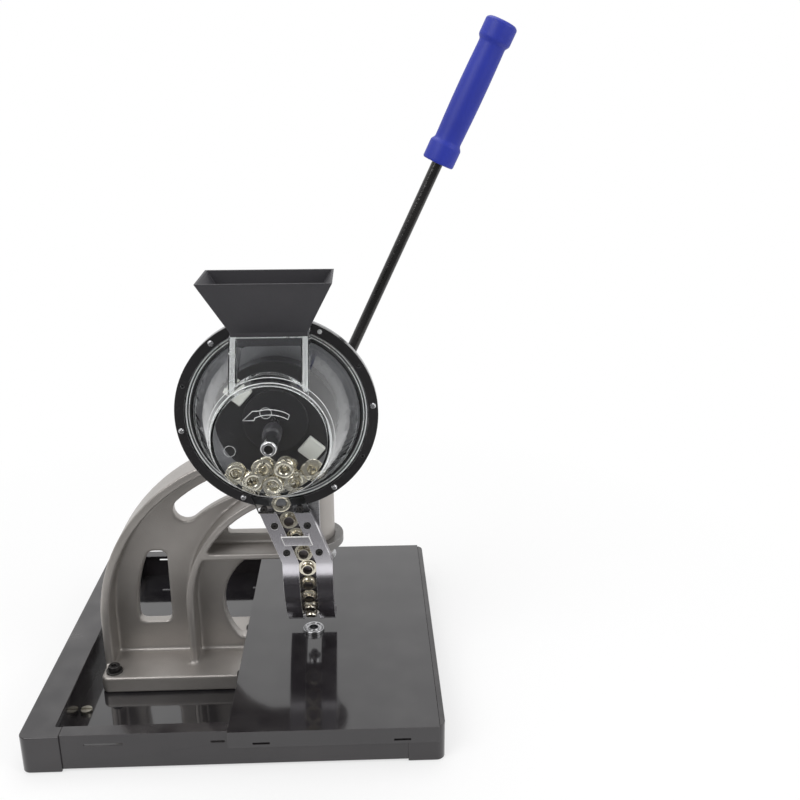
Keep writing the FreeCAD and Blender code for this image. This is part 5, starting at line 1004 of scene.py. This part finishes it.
@dataclass
class Assembly:
    """What every sub-assembly shares.

    Attributes:
        body: The CAD body that its pieces ride on.
        edge_angle: Edges whose faces turn by more than this are broken.
    """

    edge_angle: ClassVar[float] = math.radians(28)
    body: str = "frame"

    def seat(self, piece: Object, finish: Finish, node: str, body: str | None = None) -> Object:
        """Finish a piece and put it on its body in place of a CAD node.

        Args:
            piece: The piece, with its place in its mesh.
            finish: Its finish.
            node: The CAD node that it stands for.
            body: Another body than the assembly's own.

        Returns:
            The piece.
        """
        if len(piece.data.materials) < 2:
            piece.data.materials.clear()
            piece.data.materials.append(finish.material())
        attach(piece, body or self.body)
        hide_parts(node)
        LOG.info("%s: %d faces, for %s", piece.name, len(piece.data.polygons), node)
        return piece

    def dress(self, finish: Finish, *nodes: str) -> None:
        """Give CAD nodes that stay as they are a finish.

        Args:
            finish: The finish.
            *nodes: The nodes.
        """
        for node in nodes:
            mesh = bpy.data.objects[node].data
            mesh.materials.clear()
            mesh.materials.append(finish.material())
            LOG.info("%s: dressed", node)

    def softened(
        self,
        node: str,
        finish: Finish,
        width: float,
        segments: int = 2,
        body: str | None = None,
        rim: Finish | None = None,
    ) -> None:
        """Stand for a CAD node with a copy whose edges are broken.

        Args:
            node: The node.
            finish: The piece's finish.
            width: Width of the broken edges.
            segments: Faces across an edge.
            body: Another body than the assembly's own.
            rim: Another finish for the broken edges.
        """
        piece = merged_copy(node)
        piece.data.materials.clear()
        for material in filter(None, (finish, rim)):
            piece.data.materials.append(material.material())
        bevel = piece.modifiers.new("edges", "BEVEL")
        bevel.width = width
        bevel.segments = segments
        bevel.limit_method = "ANGLE"
        bevel.angle_limit = self.edge_angle
        bevel.miter_outer = "MITER_ARC"
        bevel.material = 1 if rim else -1
        weights = piece.modifiers.new("normals", "WEIGHTED_NORMAL")
        weights.keep_sharp = True
        piece.data.shade_smooth()
        baked(piece)
        self.seat(piece, finish, node, body)

    def lathed(self, name: str, profile: Profile, place: Vector, finish: Finish, node: str) -> None:
        """Seat a piece that is turned about an axis towards the front, in place of a CAD node."""
        self.seat(turned(name, profile, place, FRONT), finish, node)

    def screws(
        self,
        name: str,
        node: str,
        head: float,
        height: float,
        direction: Triple,
        button: bool = False,
        finish: Finish = SCREW_BLACK,
    ) -> None:
        """Socket screws in place of a node of them, with their tops where the solids' tops are.

        Args:
            name: The piece's name.
            node: The node.
            head: Radius of the heads.
            height: Height of the heads.
            direction: Which way the heads face.
            button: Whether the heads are domed.
            finish: Their finish.
        """
        places = []
        turn = axis_turn(direction)
        axis = max(range(3), key=lambda i: abs(direction[i]))
        for points in islands(node):
            low, high = corners(points)
            spot = (low + high) / 2
            spot[axis] = (high if direction[axis] > 0 else low)[axis] - direction[axis] * height
            places.append(Matrix.Translation(spot) @ turn)
        piece = copies(name, socket_screw(head, height, button), places, play=TAU)
        self.seat(piece, finish, node)


@dataclass
class Base(Assembly):
    """The tray, its rails, the deck, the table and what holds them.

    Attributes:
        fold: Width of the broken edges of folded sheet.
        rail_edge: Width of the rails' broken edges.
    """

    fold: float = 0.7 * MM
    rail_edge: float = 1.2 * MM

    def build(self) -> None:
        """Make and dress all the base's pieces."""
        self.softened("base_tray", TRAY_PAINT, self.fold)
        self.softened("left_rail", TRAY_PAINT, self.rail_edge, 3)
        self.softened("right_rail", TRAY_PAINT, self.rail_edge, 3)
        self.softened("deck_plate", DECK_GLOSS, 0.4 * MM)
        self.softened("table_plate", TABLE_PAINT, self.fold, 3)
        self.softened("rubber_feet", RUBBER, 0.6 * MM)
        self.softened("zinc_catch", ZINC, 0.4 * MM)
        self.dress(STEEL, "table_supports")
        self.screws("edge_screw_heads", "table_edge_screws", 4.0 * MM, 2.4 * MM, LEFT, button=True)


@dataclass
class Casting(Assembly):
    """The cast C-frame with its bolts.

    Attributes:
        voxel: Size of the cells that its skin is rebuilt from.
        passes: Smoothing passes, which round its corners and fillets.
    """

    voxel: float = 1.7 * MM
    passes: int = 5

    def skin(self) -> Object:
        """The casting with rounded edges and filleted inner corners.

        Returns:
            The piece.
        """
        piece = merged_copy("c_frame")
        remesh = piece.modifiers.new("skin", "REMESH")
        remesh.mode = "VOXEL"
        remesh.voxel_size = self.voxel
        smooth = piece.modifiers.new("smooth", "SMOOTH")
        smooth.factor = 0.5
        smooth.iterations = self.passes
        baked(piece)
        piece.data.shade_smooth()
        return piece

    def build(self) -> None:
        """Make and dress the casting, its bolts and washers."""
        self.seat(self.skin(), CAST_METAL, "c_frame")
        self.screws("foot_bolt_heads", "foot_bolts", 6.5 * MM, 5.7 * MM, UP)
        self.softened("foot_washers", SCREW_BLACK, 0.3 * MM)


@dataclass
class Head(Assembly):
    """The barrel's cap and collar, its bushes, and the hinge that carries the feeder."""

    def build(self) -> None:
        """Make and dress the head's pieces."""
        self.softened("head_cap", SCREW_BLACK, 1.0 * MM, 3)
        self.softened("barrel_collar", COLLAR_METAL, 0.8 * MM, 3)
        self.softened("hinge_saddle", MACHINED_METAL, 0.7 * MM)
        self.screws("saddle_screw_heads", "saddle_screws", 4.0 * MM, 4.0 * MM, FRONT)
        self.softened("feeder_hinge_pin", STEEL, 0.5 * MM)
        self.dress(BRONZE, "ram_bushes", "pinion_bushes")
        self.dress(SCREW_BLACK, "die_grub_screw")
        self.softened("lower_die", STEEL, 0.25 * MM)
        self.return_spring()

    def return_spring(self) -> None:
        """Wind the spring inside the barrel."""
        low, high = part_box("return_spring")
        wire = 1.1 * MM
        turns, steps = 4, 40
        middle = (low + high) / 2
        radius = (high.x - low.x) / 2 - wire
        rise = (high.z - low.z - 2 * wire) / (turns * steps)
        points = []
        for step in range(turns * steps + 1):
            angle = TAU * step / steps
            across = Vector((math.cos(angle), math.sin(angle), 0.0)) * radius
            points.append(Vector((middle.x, middle.y, low.z + wire + rise * step)) + across)
        piece = self.seat(wired("return_spring_coil", points, wire), STEEL, "return_spring")
        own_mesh(piece)


@dataclass
class Lever(Assembly):
    """The pinion shaft with the lever, its hub, rod and grip.

    Attributes:
        lean: The lever's angle from upright at rest, to the right.
        reach: Distance from the shaft's axis to the grip's top.
        grip_length: Length of the grip.
        grip_radius: Radius of the grip's collars.
        waist_radius: Radius beside the collars.
        belly_radius: Radius at the grip's middle.
        collar: Length of the collar at either end of the grip.
        socket: How deep the rod sits in the grip.
        rod_radius: Radius of the rod.
    """

    body: str = "lever"
    lean: float = math.radians(25)
    reach: float = 546 * MM
    grip_length: float = 152 * MM
    grip_radius: float = 17 * MM
    waist_radius: float = 14.1 * MM
    belly_radius: float = 14.9 * MM
    collar: float = 20 * MM
    socket: float = 16 * MM
    rod_radius: float = 6 * MM

    @property
    def direction(self) -> Triple:
        """The lever's direction, from the shaft to the grip."""
        return (math.sin(self.lean), 0.0, math.cos(self.lean))

    @property
    def pivot(self) -> Vector:
        """Where the lever's axis meets the shaft's.

        Returns:
            The point.
        """
        low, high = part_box("pinion_shaft")
        hub_low, hub_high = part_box("lever_hub")
        return Vector(((low.x + high.x) / 2, (hub_low.y + hub_high.y) / 2, (low.z + high.z) / 2))

    def grip(self) -> Object:
        """The moulded grip.

        Returns:
            The piece.
        """
        top = self.reach
        bottom = top - self.grip_length
        bore = self.rod_radius + 0.05 * MM
        fillet = 4 * MM
        steps = 14
        start, end = bottom + self.collar + fillet, top - self.collar - fillet
        belly = []
        for step in range(steps + 1):
            t = step / steps
            swell = (self.belly_radius - self.waist_radius) * math.sin(math.pi * t)
            belly.append((self.waist_radius + swell, start + (end - start) * t))
        outline = [
            (bore, bottom + self.socket),
            (bore, bottom),
            (self.grip_radius - 1.0 * MM, bottom),
            (self.grip_radius, bottom + 1.5 * MM),
            (self.grip_radius, bottom + self.collar),
            *belly,
            (self.grip_radius, top - self.collar),
            (self.grip_radius, top - 2.5 * MM),
            (self.grip_radius - 3 * MM, top),
            (0.0, top),
        ]
        profile = [(0.0, bottom + self.socket)] + rounded_profile(outline, 1.6 * MM)
        return turned("grip_piece", profile, self.pivot, self.direction)

    def rod(self) -> Object:
        """The hammered rod between hub and grip.

        Returns:
            The piece.
        """
        start, end = 16 * MM, self.reach - self.grip_length + self.socket - 0.5 * MM
        chamfer = 1 * MM
        steps = 60
        long = end - start - 2 * chamfer
        side = [(self.rod_radius, start + chamfer + long * i / steps) for i in range(steps + 1)]
        tip = self.rod_radius - chamfer
        outline = [(0.0, start), (tip, start), *side, (tip, end), (0.0, end)]
        return turned("rod_piece", outline, self.pivot, self.direction, 48)

    def build(self) -> None:
        """Make and dress the lever's pieces."""
        self.seat(self.grip(), GRIP_PLASTIC, "lever_grip")
        self.seat(self.rod(), ROD_ENAMEL, "lever_rod")
        self.softened("lever_hub", ROD_ENAMEL, 0.9 * MM, 3)
        self.softened("shaft_collar", STEEL, 0.6 * MM)
        self.softened("pinion_shaft", STEEL, 0.3 * MM)
        self.dress(SCREW_BLACK, "hub_set_screws")


@dataclass
class Ram(Assembly):
    """The ram with its cone and upper die."""

    body: str = "ram"

    def build(self) -> None:
        """Make and dress the ram's pieces."""
        self.softened("ram", STEEL, 0.3 * MM)
        self.softened("cam_cone", STEEL, 0.6 * MM)
        self.softened("upper_die", BRIGHT_STEEL, 0.3 * MM)
        self.softened("pilot_pin", BRIGHT_STEEL, 0.2 * MM)
        self.dress(SCREW_BLACK, "upper_die_screw")


@dataclass
class Chute(Assembly):
    """The curved chute with its clip, screws, fingers and roller."""

    body: str = "feeder"

    def build(self) -> None:
        """Make and dress the chute's pieces."""
        self.softened("chute_left_plate", CHUTE_METAL, 1.0 * MM, rim=CHUTE_EDGE_HIGHLIGHT)
        self.softened("chute_right_plate", CHUTE_METAL, 1.0 * MM, rim=CHUTE_EDGE_HIGHLIGHT)
        # The back plate's dark finish is painted shade of the channel.
        self.softened("chute_back_plate", CHUTE_BED_SHADE, 0.4 * MM)
        self.softened("chute_clip", CHUTE_METAL, 1.6 * MM, 2, rim=CHUTE_EDGE_HIGHLIGHT)
        self.screws("chute_screw_heads", "chute_screws", 3.7 * MM, 2.8 * MM, FRONT)
        self.softened("spring_fingers", BRIGHT_STEEL, 0.2 * MM)
        self.softened("outlet_block", COVER_PLASTIC, 0.5 * MM)
        self.softened("feeder_bracket", MACHINED_METAL, 0.8 * MM)
        self.softened("cam_roller", STEEL, 0.4 * MM, body="cam_roller")
        self.dress(STEEL, "roller_pin")


@dataclass(frozen=True)
class Ring:
    """A fine ring round the drum's axis.

    Attributes:
        name: The piece's name.
        radius: Radius of its middle line.
        thick: Radius of its section.
        along: Where it sits along the axis, towards the front.
        finish: Its finish.
    """

    name: str
    radius: float
    thick: float
    along: float
    finish: Finish = HIGHLIGHT_PLASTIC


@dataclass
class Drum(Assembly):
    """The drum: back plate, ring, clear cover, neck and funnel.

    Attributes:
        back_rings: Rings that stand forward of the cover's open end.
        front_rings: Rings behind the cover's front face.
        marks: Where the round marks are on the front face, across and up.
        arrow_drop: How far the arrow's outline is moved down, in millimetres.
        nut_bore: Bore of the nut's sleeve.
        nut_radius: Radius of the sleeve.
        wall: Thickness of the neck's walls.
        strip: Width of the frosted strips at the neck's side walls.
        mouth: Where the neck's front wall is along Y at its top.
        hole_highlight_circle: Radius of the circle that the milky dome of painted highlight lies on.
        hole_highlight_angle: The dome's angle from the right.
        hole_highlight_seat: Where the dome's foot is along Y.
    """

    body: str = "feeder"
    back_rings: tuple[Ring, ...] = (
        Ring("flange_bead", 89.8 * MM, 0.8 * MM, 4.2 * MM),
        Ring("flange_step", 87.0 * MM, 0.5 * MM, 4.0 * MM),
        Ring("flange_seal", 84.8 * MM, 0.75 * MM, 5.6 * MM, SEAL_RUBBER),
    )
    front_rings: tuple[Ring, ...] = (
        Ring("front_bead", 56.3 * MM, 0.55 * MM, -2.0 * MM),
        Ring("second_bead", 59.3 * MM, 0.55 * MM, -9.0 * MM),
    )
    marks: Sequence[tuple[float, float]] = ((-38.0 * MM, -9.0 * MM), (-3.0 * MM, 28.0 * MM))
    arrow_drop: float = 4.0
    nut_bore: float = 4.2 * MM
    nut_radius: float = 7.6 * MM
    wall: float = 0.9 * MM
    strip: float = 5 * MM
    mouth: float = -125 * MM
    hole_highlight_circle: float = 96.55 * MM
    hole_highlight_angle: float = math.radians(62)
    hole_highlight_seat: float = -76.2 * MM

    @property
    def front(self) -> Vector:
        """The middle of the cover's front face."""
        low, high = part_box("clear_cover")
        return Vector(((low.x + high.x) / 2, low.y, (low.z + high.z) / 2))

    @property
    def back(self) -> Vector:
        """The middle of the cover's open end."""
        return Vector((self.front.x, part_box("clear_cover")[1].y, self.front.z))

    def cover(self) -> None:
        """The clear cover with its beads, seal, moulded marks and arrow."""
        node = "clear_cover"
        self.softened(node, COVER_PLASTIC, 0.4 * MM)
        for place, rings in ((self.back, self.back_rings), (self.front, self.front_rings)):
            for ring in rings:
                self.lathed(ring.name, hoop(ring.radius, ring.thick, ring.along), place, ring.finish, node)
        mark = hoop(5.3 * MM, 0.18 * MM, -0.1 * MM)
        for number, (across, up) in enumerate(self.marks):
            place = self.front + Vector((across, 0.0, up))
            self.lathed(f"mark_{number}", mark, place, HIGHLIGHT_PLASTIC, node)
        self.seat(wired("arrow_outline", self.arrow(), 0.35 * MM, closed=True), HIGHLIGHT_PLASTIC, node)

    def arrow(self) -> list[Vector]:
        """The outline of the raised arrow that shows which way the agitator turns.

        Returns:
            Its points.
        """
        # Millimetres across and up from the drum's axis. Its long sides are flat parabolas.
        outline = [(-24.5, 25.0), (-15.0, 34.0)]
        outline += [(x, 35.4 - 0.0145 * x * x) for x in range(-9, 18, 3)]
        outline += [(18.6, 29.8), (17.1, 25.4)]
        outline += [(x, 30.2 - 0.0155 * x * x) for x in range(14, -14, -3)]
        outline += [(-14.0, 25.0)]
        sunk = 0.15
        return [self.front + Vector((x, sunk, z - self.arrow_drop)) * MM for x, z in outline]

    def nut(self) -> None:
        """The bright sleeve on the cover's front, and a dark plug in its bore that paints the shade of the
        hole.
        """
        end = self.front.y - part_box("cover_nut")[0].y
        bore, radius = self.nut_bore, self.nut_radius
        rim, chamfer = radius - 1.2 * MM, 2 * MM
        sleeve = [(bore, 0.0), (radius, 0.0), (radius, end - chamfer), (rim, end), (bore, end), (bore, 0.0)]
        self.lathed("nut_sleeve", rounded_profile(sleeve, 0.8 * MM), self.front, BRIGHT_STEEL, "cover_nut")
        # Painted shade: a black plug fills the sleeve's bore up to a little below its mouth, so that the
        # hole shows dark.
        thick = bore - 0.1 * MM
        bore_shade = [(0.0, 0.0), (thick, 0.0), (thick, end - 2.6 * MM), (0.0, end - 2.2 * MM)]
        self.lathed("nut_stud", bore_shade, self.front, SCREW_BLACK, "cover_nut")

    def build(self) -> None:
        """Make and dress the drum's pieces."""
        self.softened("drum_back_plate", PLATE_METAL, 0.5 * MM)
        self.softened("drum_ring", RING_PLASTIC, 0.6 * MM, 3)
        self.screws("ring_screw_heads", "drum_screws", 3.2 * MM, 2.2 * MM, FRONT, True, BRIGHT_STEEL)
        self.hole_highlight()
        self.cover()
        self.nut()
        self.neck()
        self.softened("funnel", FUNNEL_PLASTIC, 0.6 * MM, 3)
        self.softened("pawl_pin", STEEL, 0.3 * MM)

    def neck(self) -> None:
        """The clear neck, frosted where its side walls are glued and along its top edge."""
        node = "inlet_neck"
        self.softened(node, COVER_PLASTIC, self.wall, 3)
        low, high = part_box(node)
        slope = (self.mouth - low.y) / (high.z - low.z)
        inside, lip_end = 0.5 * MM, 2 * MM
        ends = (low.z + 2.5 * MM, high.z - 0.6 * MM)
        sides = {"left": low.x + self.wall, "right": high.x - self.wall - self.strip}
        for side, left in sides.items():
            bm = bmesh.new()
            for z in ends:
                y = self.mouth - (high.z - z) * slope + inside
                for x in (left, left + self.strip):
                    bm.verts.new((x, y, z))
                    bm.verts.new((x, y + self.strip, z))
            bmesh.ops.convex_hull(bm, input=bm.verts)
            piece = finished(f"neck_{side}_piece", bm)
            bevel = piece.modifiers.new("edges", "BEVEL")
            bevel.width = 1.6 * MM
            bevel.segments = 3
            piece.data.shade_smooth()
            self.seat(baked(piece), FROST_PLASTIC, node)
        y, z = self.mouth + self.wall, high.z - self.wall
        lip = [(x, y, z) for x in (low.x + lip_end, high.x - lip_end)]
        self.seat(wired("neck_lip", lip, 0.5 * MM), FROST_PLASTIC, node)

    def hole_highlight(self) -> None:
        """A milky dome in the hole at the ring's upper right: painted highlight that makes the hole show
        bright.
        """
        across, up = math.cos(self.hole_highlight_angle), math.sin(self.hole_highlight_angle)
        place = self.front + Vector((across, 0.0, up)) * self.hole_highlight_circle
        place.y = self.hole_highlight_seat
        dome = [(0.0, 0.0), (2.3 * MM, 0.0), (2.3 * MM, 6.1 * MM), (1.4 * MM, 6.6 * MM), (0.0, 6.8 * MM)]
        self.lathed("ring_rivet", dome, place, HIGHLIGHT_PLASTIC, "drum_ring")


@dataclass
class Agitator(Assembly):
    """What turns in the drum, and its ratchet behind it."""

    body: str = "agitator"

    def build(self) -> None:
        """Make and dress the agitator's pieces."""
        self.softened("agitator_disc", DISC_PLASTIC, 0.6 * MM, 3)
        self.softened("agitator_paddles", PADDLE_PLASTIC, 1.4 * MM, 3)
        self.softened("agitator_spindle", STEEL, 0.4 * MM)
        self.softened("agitator_knob", KNOB_PLASTIC, 1.4 * MM, 3)
        self.softened("ratchet_wheel", STEEL, 0.25 * MM)
        self.softened("pawl", STEEL, 0.4 * MM, body="pawl")


@dataclass
class Eyelets(Assembly):
    """The loose eyelets in the drum and in the chute.

    Attributes:
        radius: Radius of the flange.
        barrel: Outer radius of the barrel.
        bore: Radius of the bore.
        length: Length over all.
        front_count: How many eyelets of the pile face the front.
        jitter: How far an eyelet of the pile is shifted.
        settling: How far the pile sinks, as a share of its height.
        front_leans: How many degrees the front ones lean.
        leans: How many degrees the others lean.
        front_flips: The share of the front ones that show their flange.
        flips: That share of the others.
        extra: How many more eyelets lie on the front of the pile.
        extra_leans: How many degrees these lean.
        outlet: Where eyelets stand in the clear outlet, and how many degrees each leans.
        depths: How far behind the cover's front the extra ones lie, in millimetres.
        sides: How far to the left and right of the drum's axis they reach, in millimetres.
        drops: How far below the axis they lie, in millimetres.
        room: The cover's inner radius at its front.
        flare: How much wider it is for each metre towards the back.
        gap: The least gap between an extra eyelet and the cover.
    """

    body: str = "feeder"
    radius: float = 10 * MM
    barrel: float = 6.2 * MM
    bore: float = 5.2 * MM
    length: float = 6 * MM
    front_count: int = 14
    jitter: float = 2.0 * MM
    settling: float = 0.10
    front_leans: tuple[float, float] = (6, 24)
    leans: tuple[float, float] = (20, 62)
    front_flips: float = 0.7
    flips: float = 0.5
    extra: int = 22
    extra_leans: tuple[float, float] = (4, 32)
    outlet: tuple = (((46.4 * MM, -76.3 * MM, 234.0 * MM), 8.0), ((40.5 * MM, -76.3 * MM, 251.0 * MM), 14.0))
    depths: tuple[float, float] = (14, 34)
    sides: tuple[float, float] = (-48, 44)
    drops: tuple[float, float] = (46, 72)
    room: float = 53 * MM
    flare: float = 0.37
    gap: float = 5 * MM

    def model(self) -> Object:
        """One eyelet with a curled flange at its origin and its barrel towards +Z.

        Returns:
            The model.
        """
        wall = self.barrel - self.bore
        thin = 0.5 * MM
        outline = [
            (self.bore, self.length),
            (self.barrel - 0.1 * MM, self.length),
            (self.barrel, self.length - 0.4 * MM),
            (self.barrel, 2.2 * MM),
            (self.barrel + 0.9 * MM, 1.2 * MM),
            (self.radius - 1.2 * MM, 1.25 * MM),
            (self.radius - 0.1 * MM, 1.2 * MM),
            (self.radius, 0.9 * MM),
            (self.radius - 0.5 * MM, 0.25 * MM),
            (self.radius - 1.6 * MM, 0.0),
            (self.barrel + 1.2 * MM, 0.05 * MM),
            (self.bore + 0.7 * MM, thin),
            (self.bore, wall + thin),
            (self.bore, self.length),
        ]
        return turned("eyelet_model", outline, Vector(), UP, 32)

    def build(self) -> None:
        """Put eyelets in place of the CAD solids, those in the drum tumbled."""
        queue = [self.place(points) for points in islands("eyelets_in_chute")]
        pile = [self.place(points) for points in islands("eyelets_in_drum")]
        pile.sort(key=self.rank)
        for name, node, places in (
            ("drum_eyelets", "eyelets_in_drum", self.tumbled(pile) + self.scattered()),
            ("chute_eyelets", "eyelets_in_chute", queue),
        ):
            self.seat(copies(name, self.model(), places), NICKEL, node)

    @staticmethod
    def rank(place: Matrix) -> tuple[float, float, float]:
        """What the rows are sorted by: from the front to the back, then from the left, then upwards."""
        x, y, z = place.translation
        return round(y, 4), x, z

    def tumbled(self, places: Sequence[Matrix]) -> list[Matrix]:
        """Eyelets in rows, each tilted and shifted as if it had been poured.

        Args:
            places: The rows' places, the front ones first.

        Returns:
            The places in the pile.
        """
        chance = random.Random(11)
        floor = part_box("eyelets_in_drum")[0].z
        out = []
        for number, place in enumerate(places):
            front = number < self.front_count
            lean = chance.uniform(*(self.front_leans if front else self.leans))
            tilt = self.tilt(chance, lean)
            flipped = chance.random() < (self.front_flips if front else self.flips)
            flip = Matrix.Rotation(math.pi if flipped else 0.0, 4, "X")
            shift = Vector([chance.uniform(-1, 1) * self.jitter for _ in range(3)])
            shift.y = abs(shift.y) * 0.5
            # Loose ones settle deeper than rows do.
            shift.z -= (place.translation.z - floor) * self.settling
            middle = place @ Matrix.Translation((0.0, 0.0, self.length / 2))
            out.append(self.laid(middle.translation + shift, tilt @ place.to_3x3().to_4x4() @ flip))
        return out

    def scattered(self) -> list[Matrix]:
        """More eyelets among the front rows of the pile, and two in the clear outlet.

        Returns:
            Their places.
        """
        chance = random.Random(5)
        low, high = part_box("clear_cover")
        middle = (low + high) / 2
        spots = [(Vector(place), lean) for place, lean in self.outlet]
        while len(spots) < self.extra + len(self.outlet):
            deep = chance.uniform(*self.depths) * MM
            across = chance.uniform(*self.sides) * MM
            spot = Vector((middle.x + across, low.y + deep, middle.z - chance.uniform(*self.drops) * MM))
            reach = math.hypot(spot.x - middle.x, spot.z - middle.z) + self.radius + self.gap
            if reach < self.room + deep * self.flare:
                spots.append((spot, chance.uniform(*self.extra_leans)))
        return [self.laid(spot, self.tilt(chance, lean) @ axis_turn(BACK)) for spot, lean in spots]

    @staticmethod
    def tilt(chance: random.Random, lean: float) -> Matrix:
        """A turn by some degrees about an axis that is drawn at random, square to Y."""
        axis = Vector((chance.uniform(-1, 1), 0.0, chance.uniform(-1, 1))).normalized()
        return Matrix.Rotation(math.radians(lean), 4, axis)

    def laid(self, middle: Vector, turn: Matrix) -> Matrix:
        """Where an eyelet's origin is when its middle is at a point."""
        return Matrix.Translation(middle) @ turn @ Matrix.Translation((0.0, 0.0, -self.length / 2))

    @staticmethod
    def place(points: Sequence[Vector]) -> Matrix:
        """Where a solid eyelet is and which way its barrel points.

        Args:
            points: The solid's points. Its axis is square to X.

        Returns:
            The place and turn of the model.
        """
        low, high = corners(points)
        middle = sum(points, Vector()) / len(points)
        middle.x = (low.x + high.x) / 2
        rest = [point - middle for point in points]
        across = sum(p.y * p.y for p in rest) - sum(p.z * p.z for p in rest)
        angle = 0.5 * math.atan2(2 * sum(p.y * p.z for p in rest), across)
        wide = Vector((0.0, math.cos(angle), math.sin(angle)))
        axis = Vector((0.0, -math.sin(angle), math.cos(angle)))
        spans = [(min(p.dot(v) for p in rest), max(p.dot(v) for p in rest)) for v in (wide, axis)]
        middle += wide * sum(spans[0]) / 2
        reach = (spans[0][1] - spans[0][0]) / 2
        rim = [p.dot(axis) for p in points_about(points, middle, axis, reach * 0.93)]
        flange = sum(rim) / len(rim) - middle.dot(axis)
        centre = sum(spans[1]) / 2
        if flange > centre:
            axis, spans[1] = -axis, (-spans[1][1], -spans[1][0])
        return Matrix.Translation(middle + axis * spans[1][0]) @ axis_turn(tuple(axis))


def points_about(points: Sequence[Vector], middle: Vector, axis: Vector, radius: float) -> list[Vector]:
    """The points farther from an axis than a radius."""
    return [p for p in points if ((p - middle) - axis * (p - middle).dot(axis)).length > radius]


# ---------------------------------------------------------------- studio


@dataclass
class Studio:
    """Floor, light and camera.

    Attributes:
        focal_pixels: The camera's focal length in widths of a pixel.
        image_width: The image's width in pixels.
        place: Where the camera stands.
        pitch: How far it looks down, in degrees.
        yaw: How far it is turned to the right, in degrees.
        roll: Its roll, in degrees.
        aim: Where the lamps point.
        room: How bright the surroundings light the scene.
        far_room: How bright the room behind the camera is where metal and gloss mirror it.
    """

    focal_pixels: float = 960.0
    image_width: float = 800.0
    place: Triple = (0.1332, -0.9909, 0.6522)
    pitch: float = 18.60
    yaw: float = 2.31
    roll: float = -0.163
    aim: Triple = (0.0, 0.0, 0.25)
    room: float = 0.55
    far_room: float = 0.22

    def camera(self) -> None:
        """Put the camera where the object is seen from the front and a little above."""
        data = bpy.data.cameras.new("camera")
        data.sensor_width = 36.0
        data.lens = self.focal_pixels / self.image_width * data.sensor_width
        made = new_object("camera", data)
        turn = (
            Matrix.Rotation(-math.radians(self.yaw), 4, "Z")
            @ Matrix.Rotation(math.radians(90 - self.pitch), 4, "X")
            @ Matrix.Rotation(math.radians(self.roll), 4, "Z")
        )
        made.matrix_world = Matrix.Translation(self.place) @ turn
        bpy.context.scene.camera = made

    def lamp(self, name: str, place: Triple, size: float, power: float) -> None:
        """Hang a soft square lamp that points at the object.

        Args:
            name: Its name.
            place: Where it hangs.
            size: Its side.
            power: Its power in watts.
        """
        data = bpy.data.lights.new(name, "AREA")
        data.size = size
        data.energy = power
        made = new_object(name, data)
        aim = Vector(self.aim) - Vector(place)
        made.matrix_world = Matrix.Translation(place) @ aim.to_track_quat("-Z", "Y").to_matrix().to_4x4()

    def world(self) -> None:
        """A pale room that shows white behind the object, in metal and through glass."""
        world = bpy.data.worlds.new("room")
        bpy.context.scene.world = world
        world.use_nodes = True
        canvas = Canvas(world.node_tree)
        glossy = canvas.part("ShaderNodeLightPath", "Is Glossy Ray")
        # The room is white behind the object and dim behind the camera.
        towards = canvas.add("ShaderNodeSeparateXYZ", {0: canvas.part("ShaderNodeTexCoord", "Generated")})
        mirrored = canvas.span(towards.outputs["Y"], -0.55, 0.05, self.far_room, 1.0)
        strength = canvas.math("MAXIMUM", mirrored, canvas.math("SUBTRACT", 1.0, glossy))
        shaders = [
            canvas.add("ShaderNodeBackground", {"Color": WHITE, "Strength": power}).outputs[0]
            for power in (self.room, strength)
        ]
        mixed = canvas.mix(self.seen(canvas), *shaders)
        canvas.feed(world.node_tree.nodes["World Output"].inputs["Surface"], mixed)

    @staticmethod
    def seen(canvas: Canvas) -> Socket:
        """Tell the rays that show the room itself, in the picture or in a reflection.

        Args:
            canvas: The canvas to draw on.

        Returns:
            A socket that is 1 for those rays and 0 for light that only falls on the object.
        """
        path = canvas.add("ShaderNodeLightPath").outputs
        first = canvas.math("MAXIMUM", path["Is Camera Ray"], path["Is Glossy Ray"])
        return canvas.math("MAXIMUM", first, path["Is Transmission Ray"])

    def floor(self) -> None:
        """A pale floor that fades into the white room."""
        bm = bmesh.new()
        bmesh.ops.create_circle(bm, cap_ends=True, segments=64, radius=6.0)
        floor = finished("floor", bm)
        made, canvas, shader = new_material("floor_paper")
        shader.inputs["Base Color"].default_value = (0.9, 0.9, 0.9, 1.0)
        shader.inputs["Roughness"].default_value = 0.9
        glow, dim = (
            canvas.add("ShaderNodeEmission", {"Color": WHITE, "Strength": power}).outputs[0]
            for power in (1.0, self.far_room)
        )
        # The paper glows more the farther it is from the object.
        place = canvas.part("ShaderNodeTexCoord", "Object")
        distance = canvas.add("ShaderNodeVectorMath", {0: place}, operation="LENGTH").outputs["Value"]
        share = canvas.math("MULTIPLY", canvas.span(distance, 0.26, 0.8, 0.62, 1.0), self.seen(canvas))
        lit = canvas.mix(share, shader.outputs[0], glow)
        # What gloss mirrors of the floor in front of the paper's edge is dim.
        along = canvas.add("ShaderNodeSeparateXYZ", {0: place}).outputs["Y"]
        glossy = canvas.part("ShaderNodeLightPath", "Is Glossy Ray")
        beyond = canvas.math("MULTIPLY", canvas.span(along, -0.36, -0.40), glossy)
        canvas.feed(canvas.tree.nodes["Material Output"].inputs["Surface"], canvas.mix(beyond, lit, dim))
        floor.data.materials.append(made)

    def build(self) -> None:
        """Make the floor, the room, the lamps and the camera."""
        self.floor()
        self.world()
        self.lamp("key", (-1.1, -1.3, 1.7), 1.2, 20.0)
        self.lamp("fill", (1.5, -0.9, 1.1), 1.0, 9.0)
        self.lamp("top", (0.0, 0.4, 1.9), 1.4, 12.0)
        self.camera()
        bpy.context.scene.view_settings.view_transform = "Standard"


def main() -> None:
    """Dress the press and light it."""
    logging.basicConfig(level=logging.INFO, format="%(message)s")
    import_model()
    for assembly in (Base(), Casting(), Head(), Lever(), Ram(), Chute(), Drum(), Agitator(), Eyelets()):
        assembly.build()
    Studio().build()


if __name__ == "__main__":
    main()
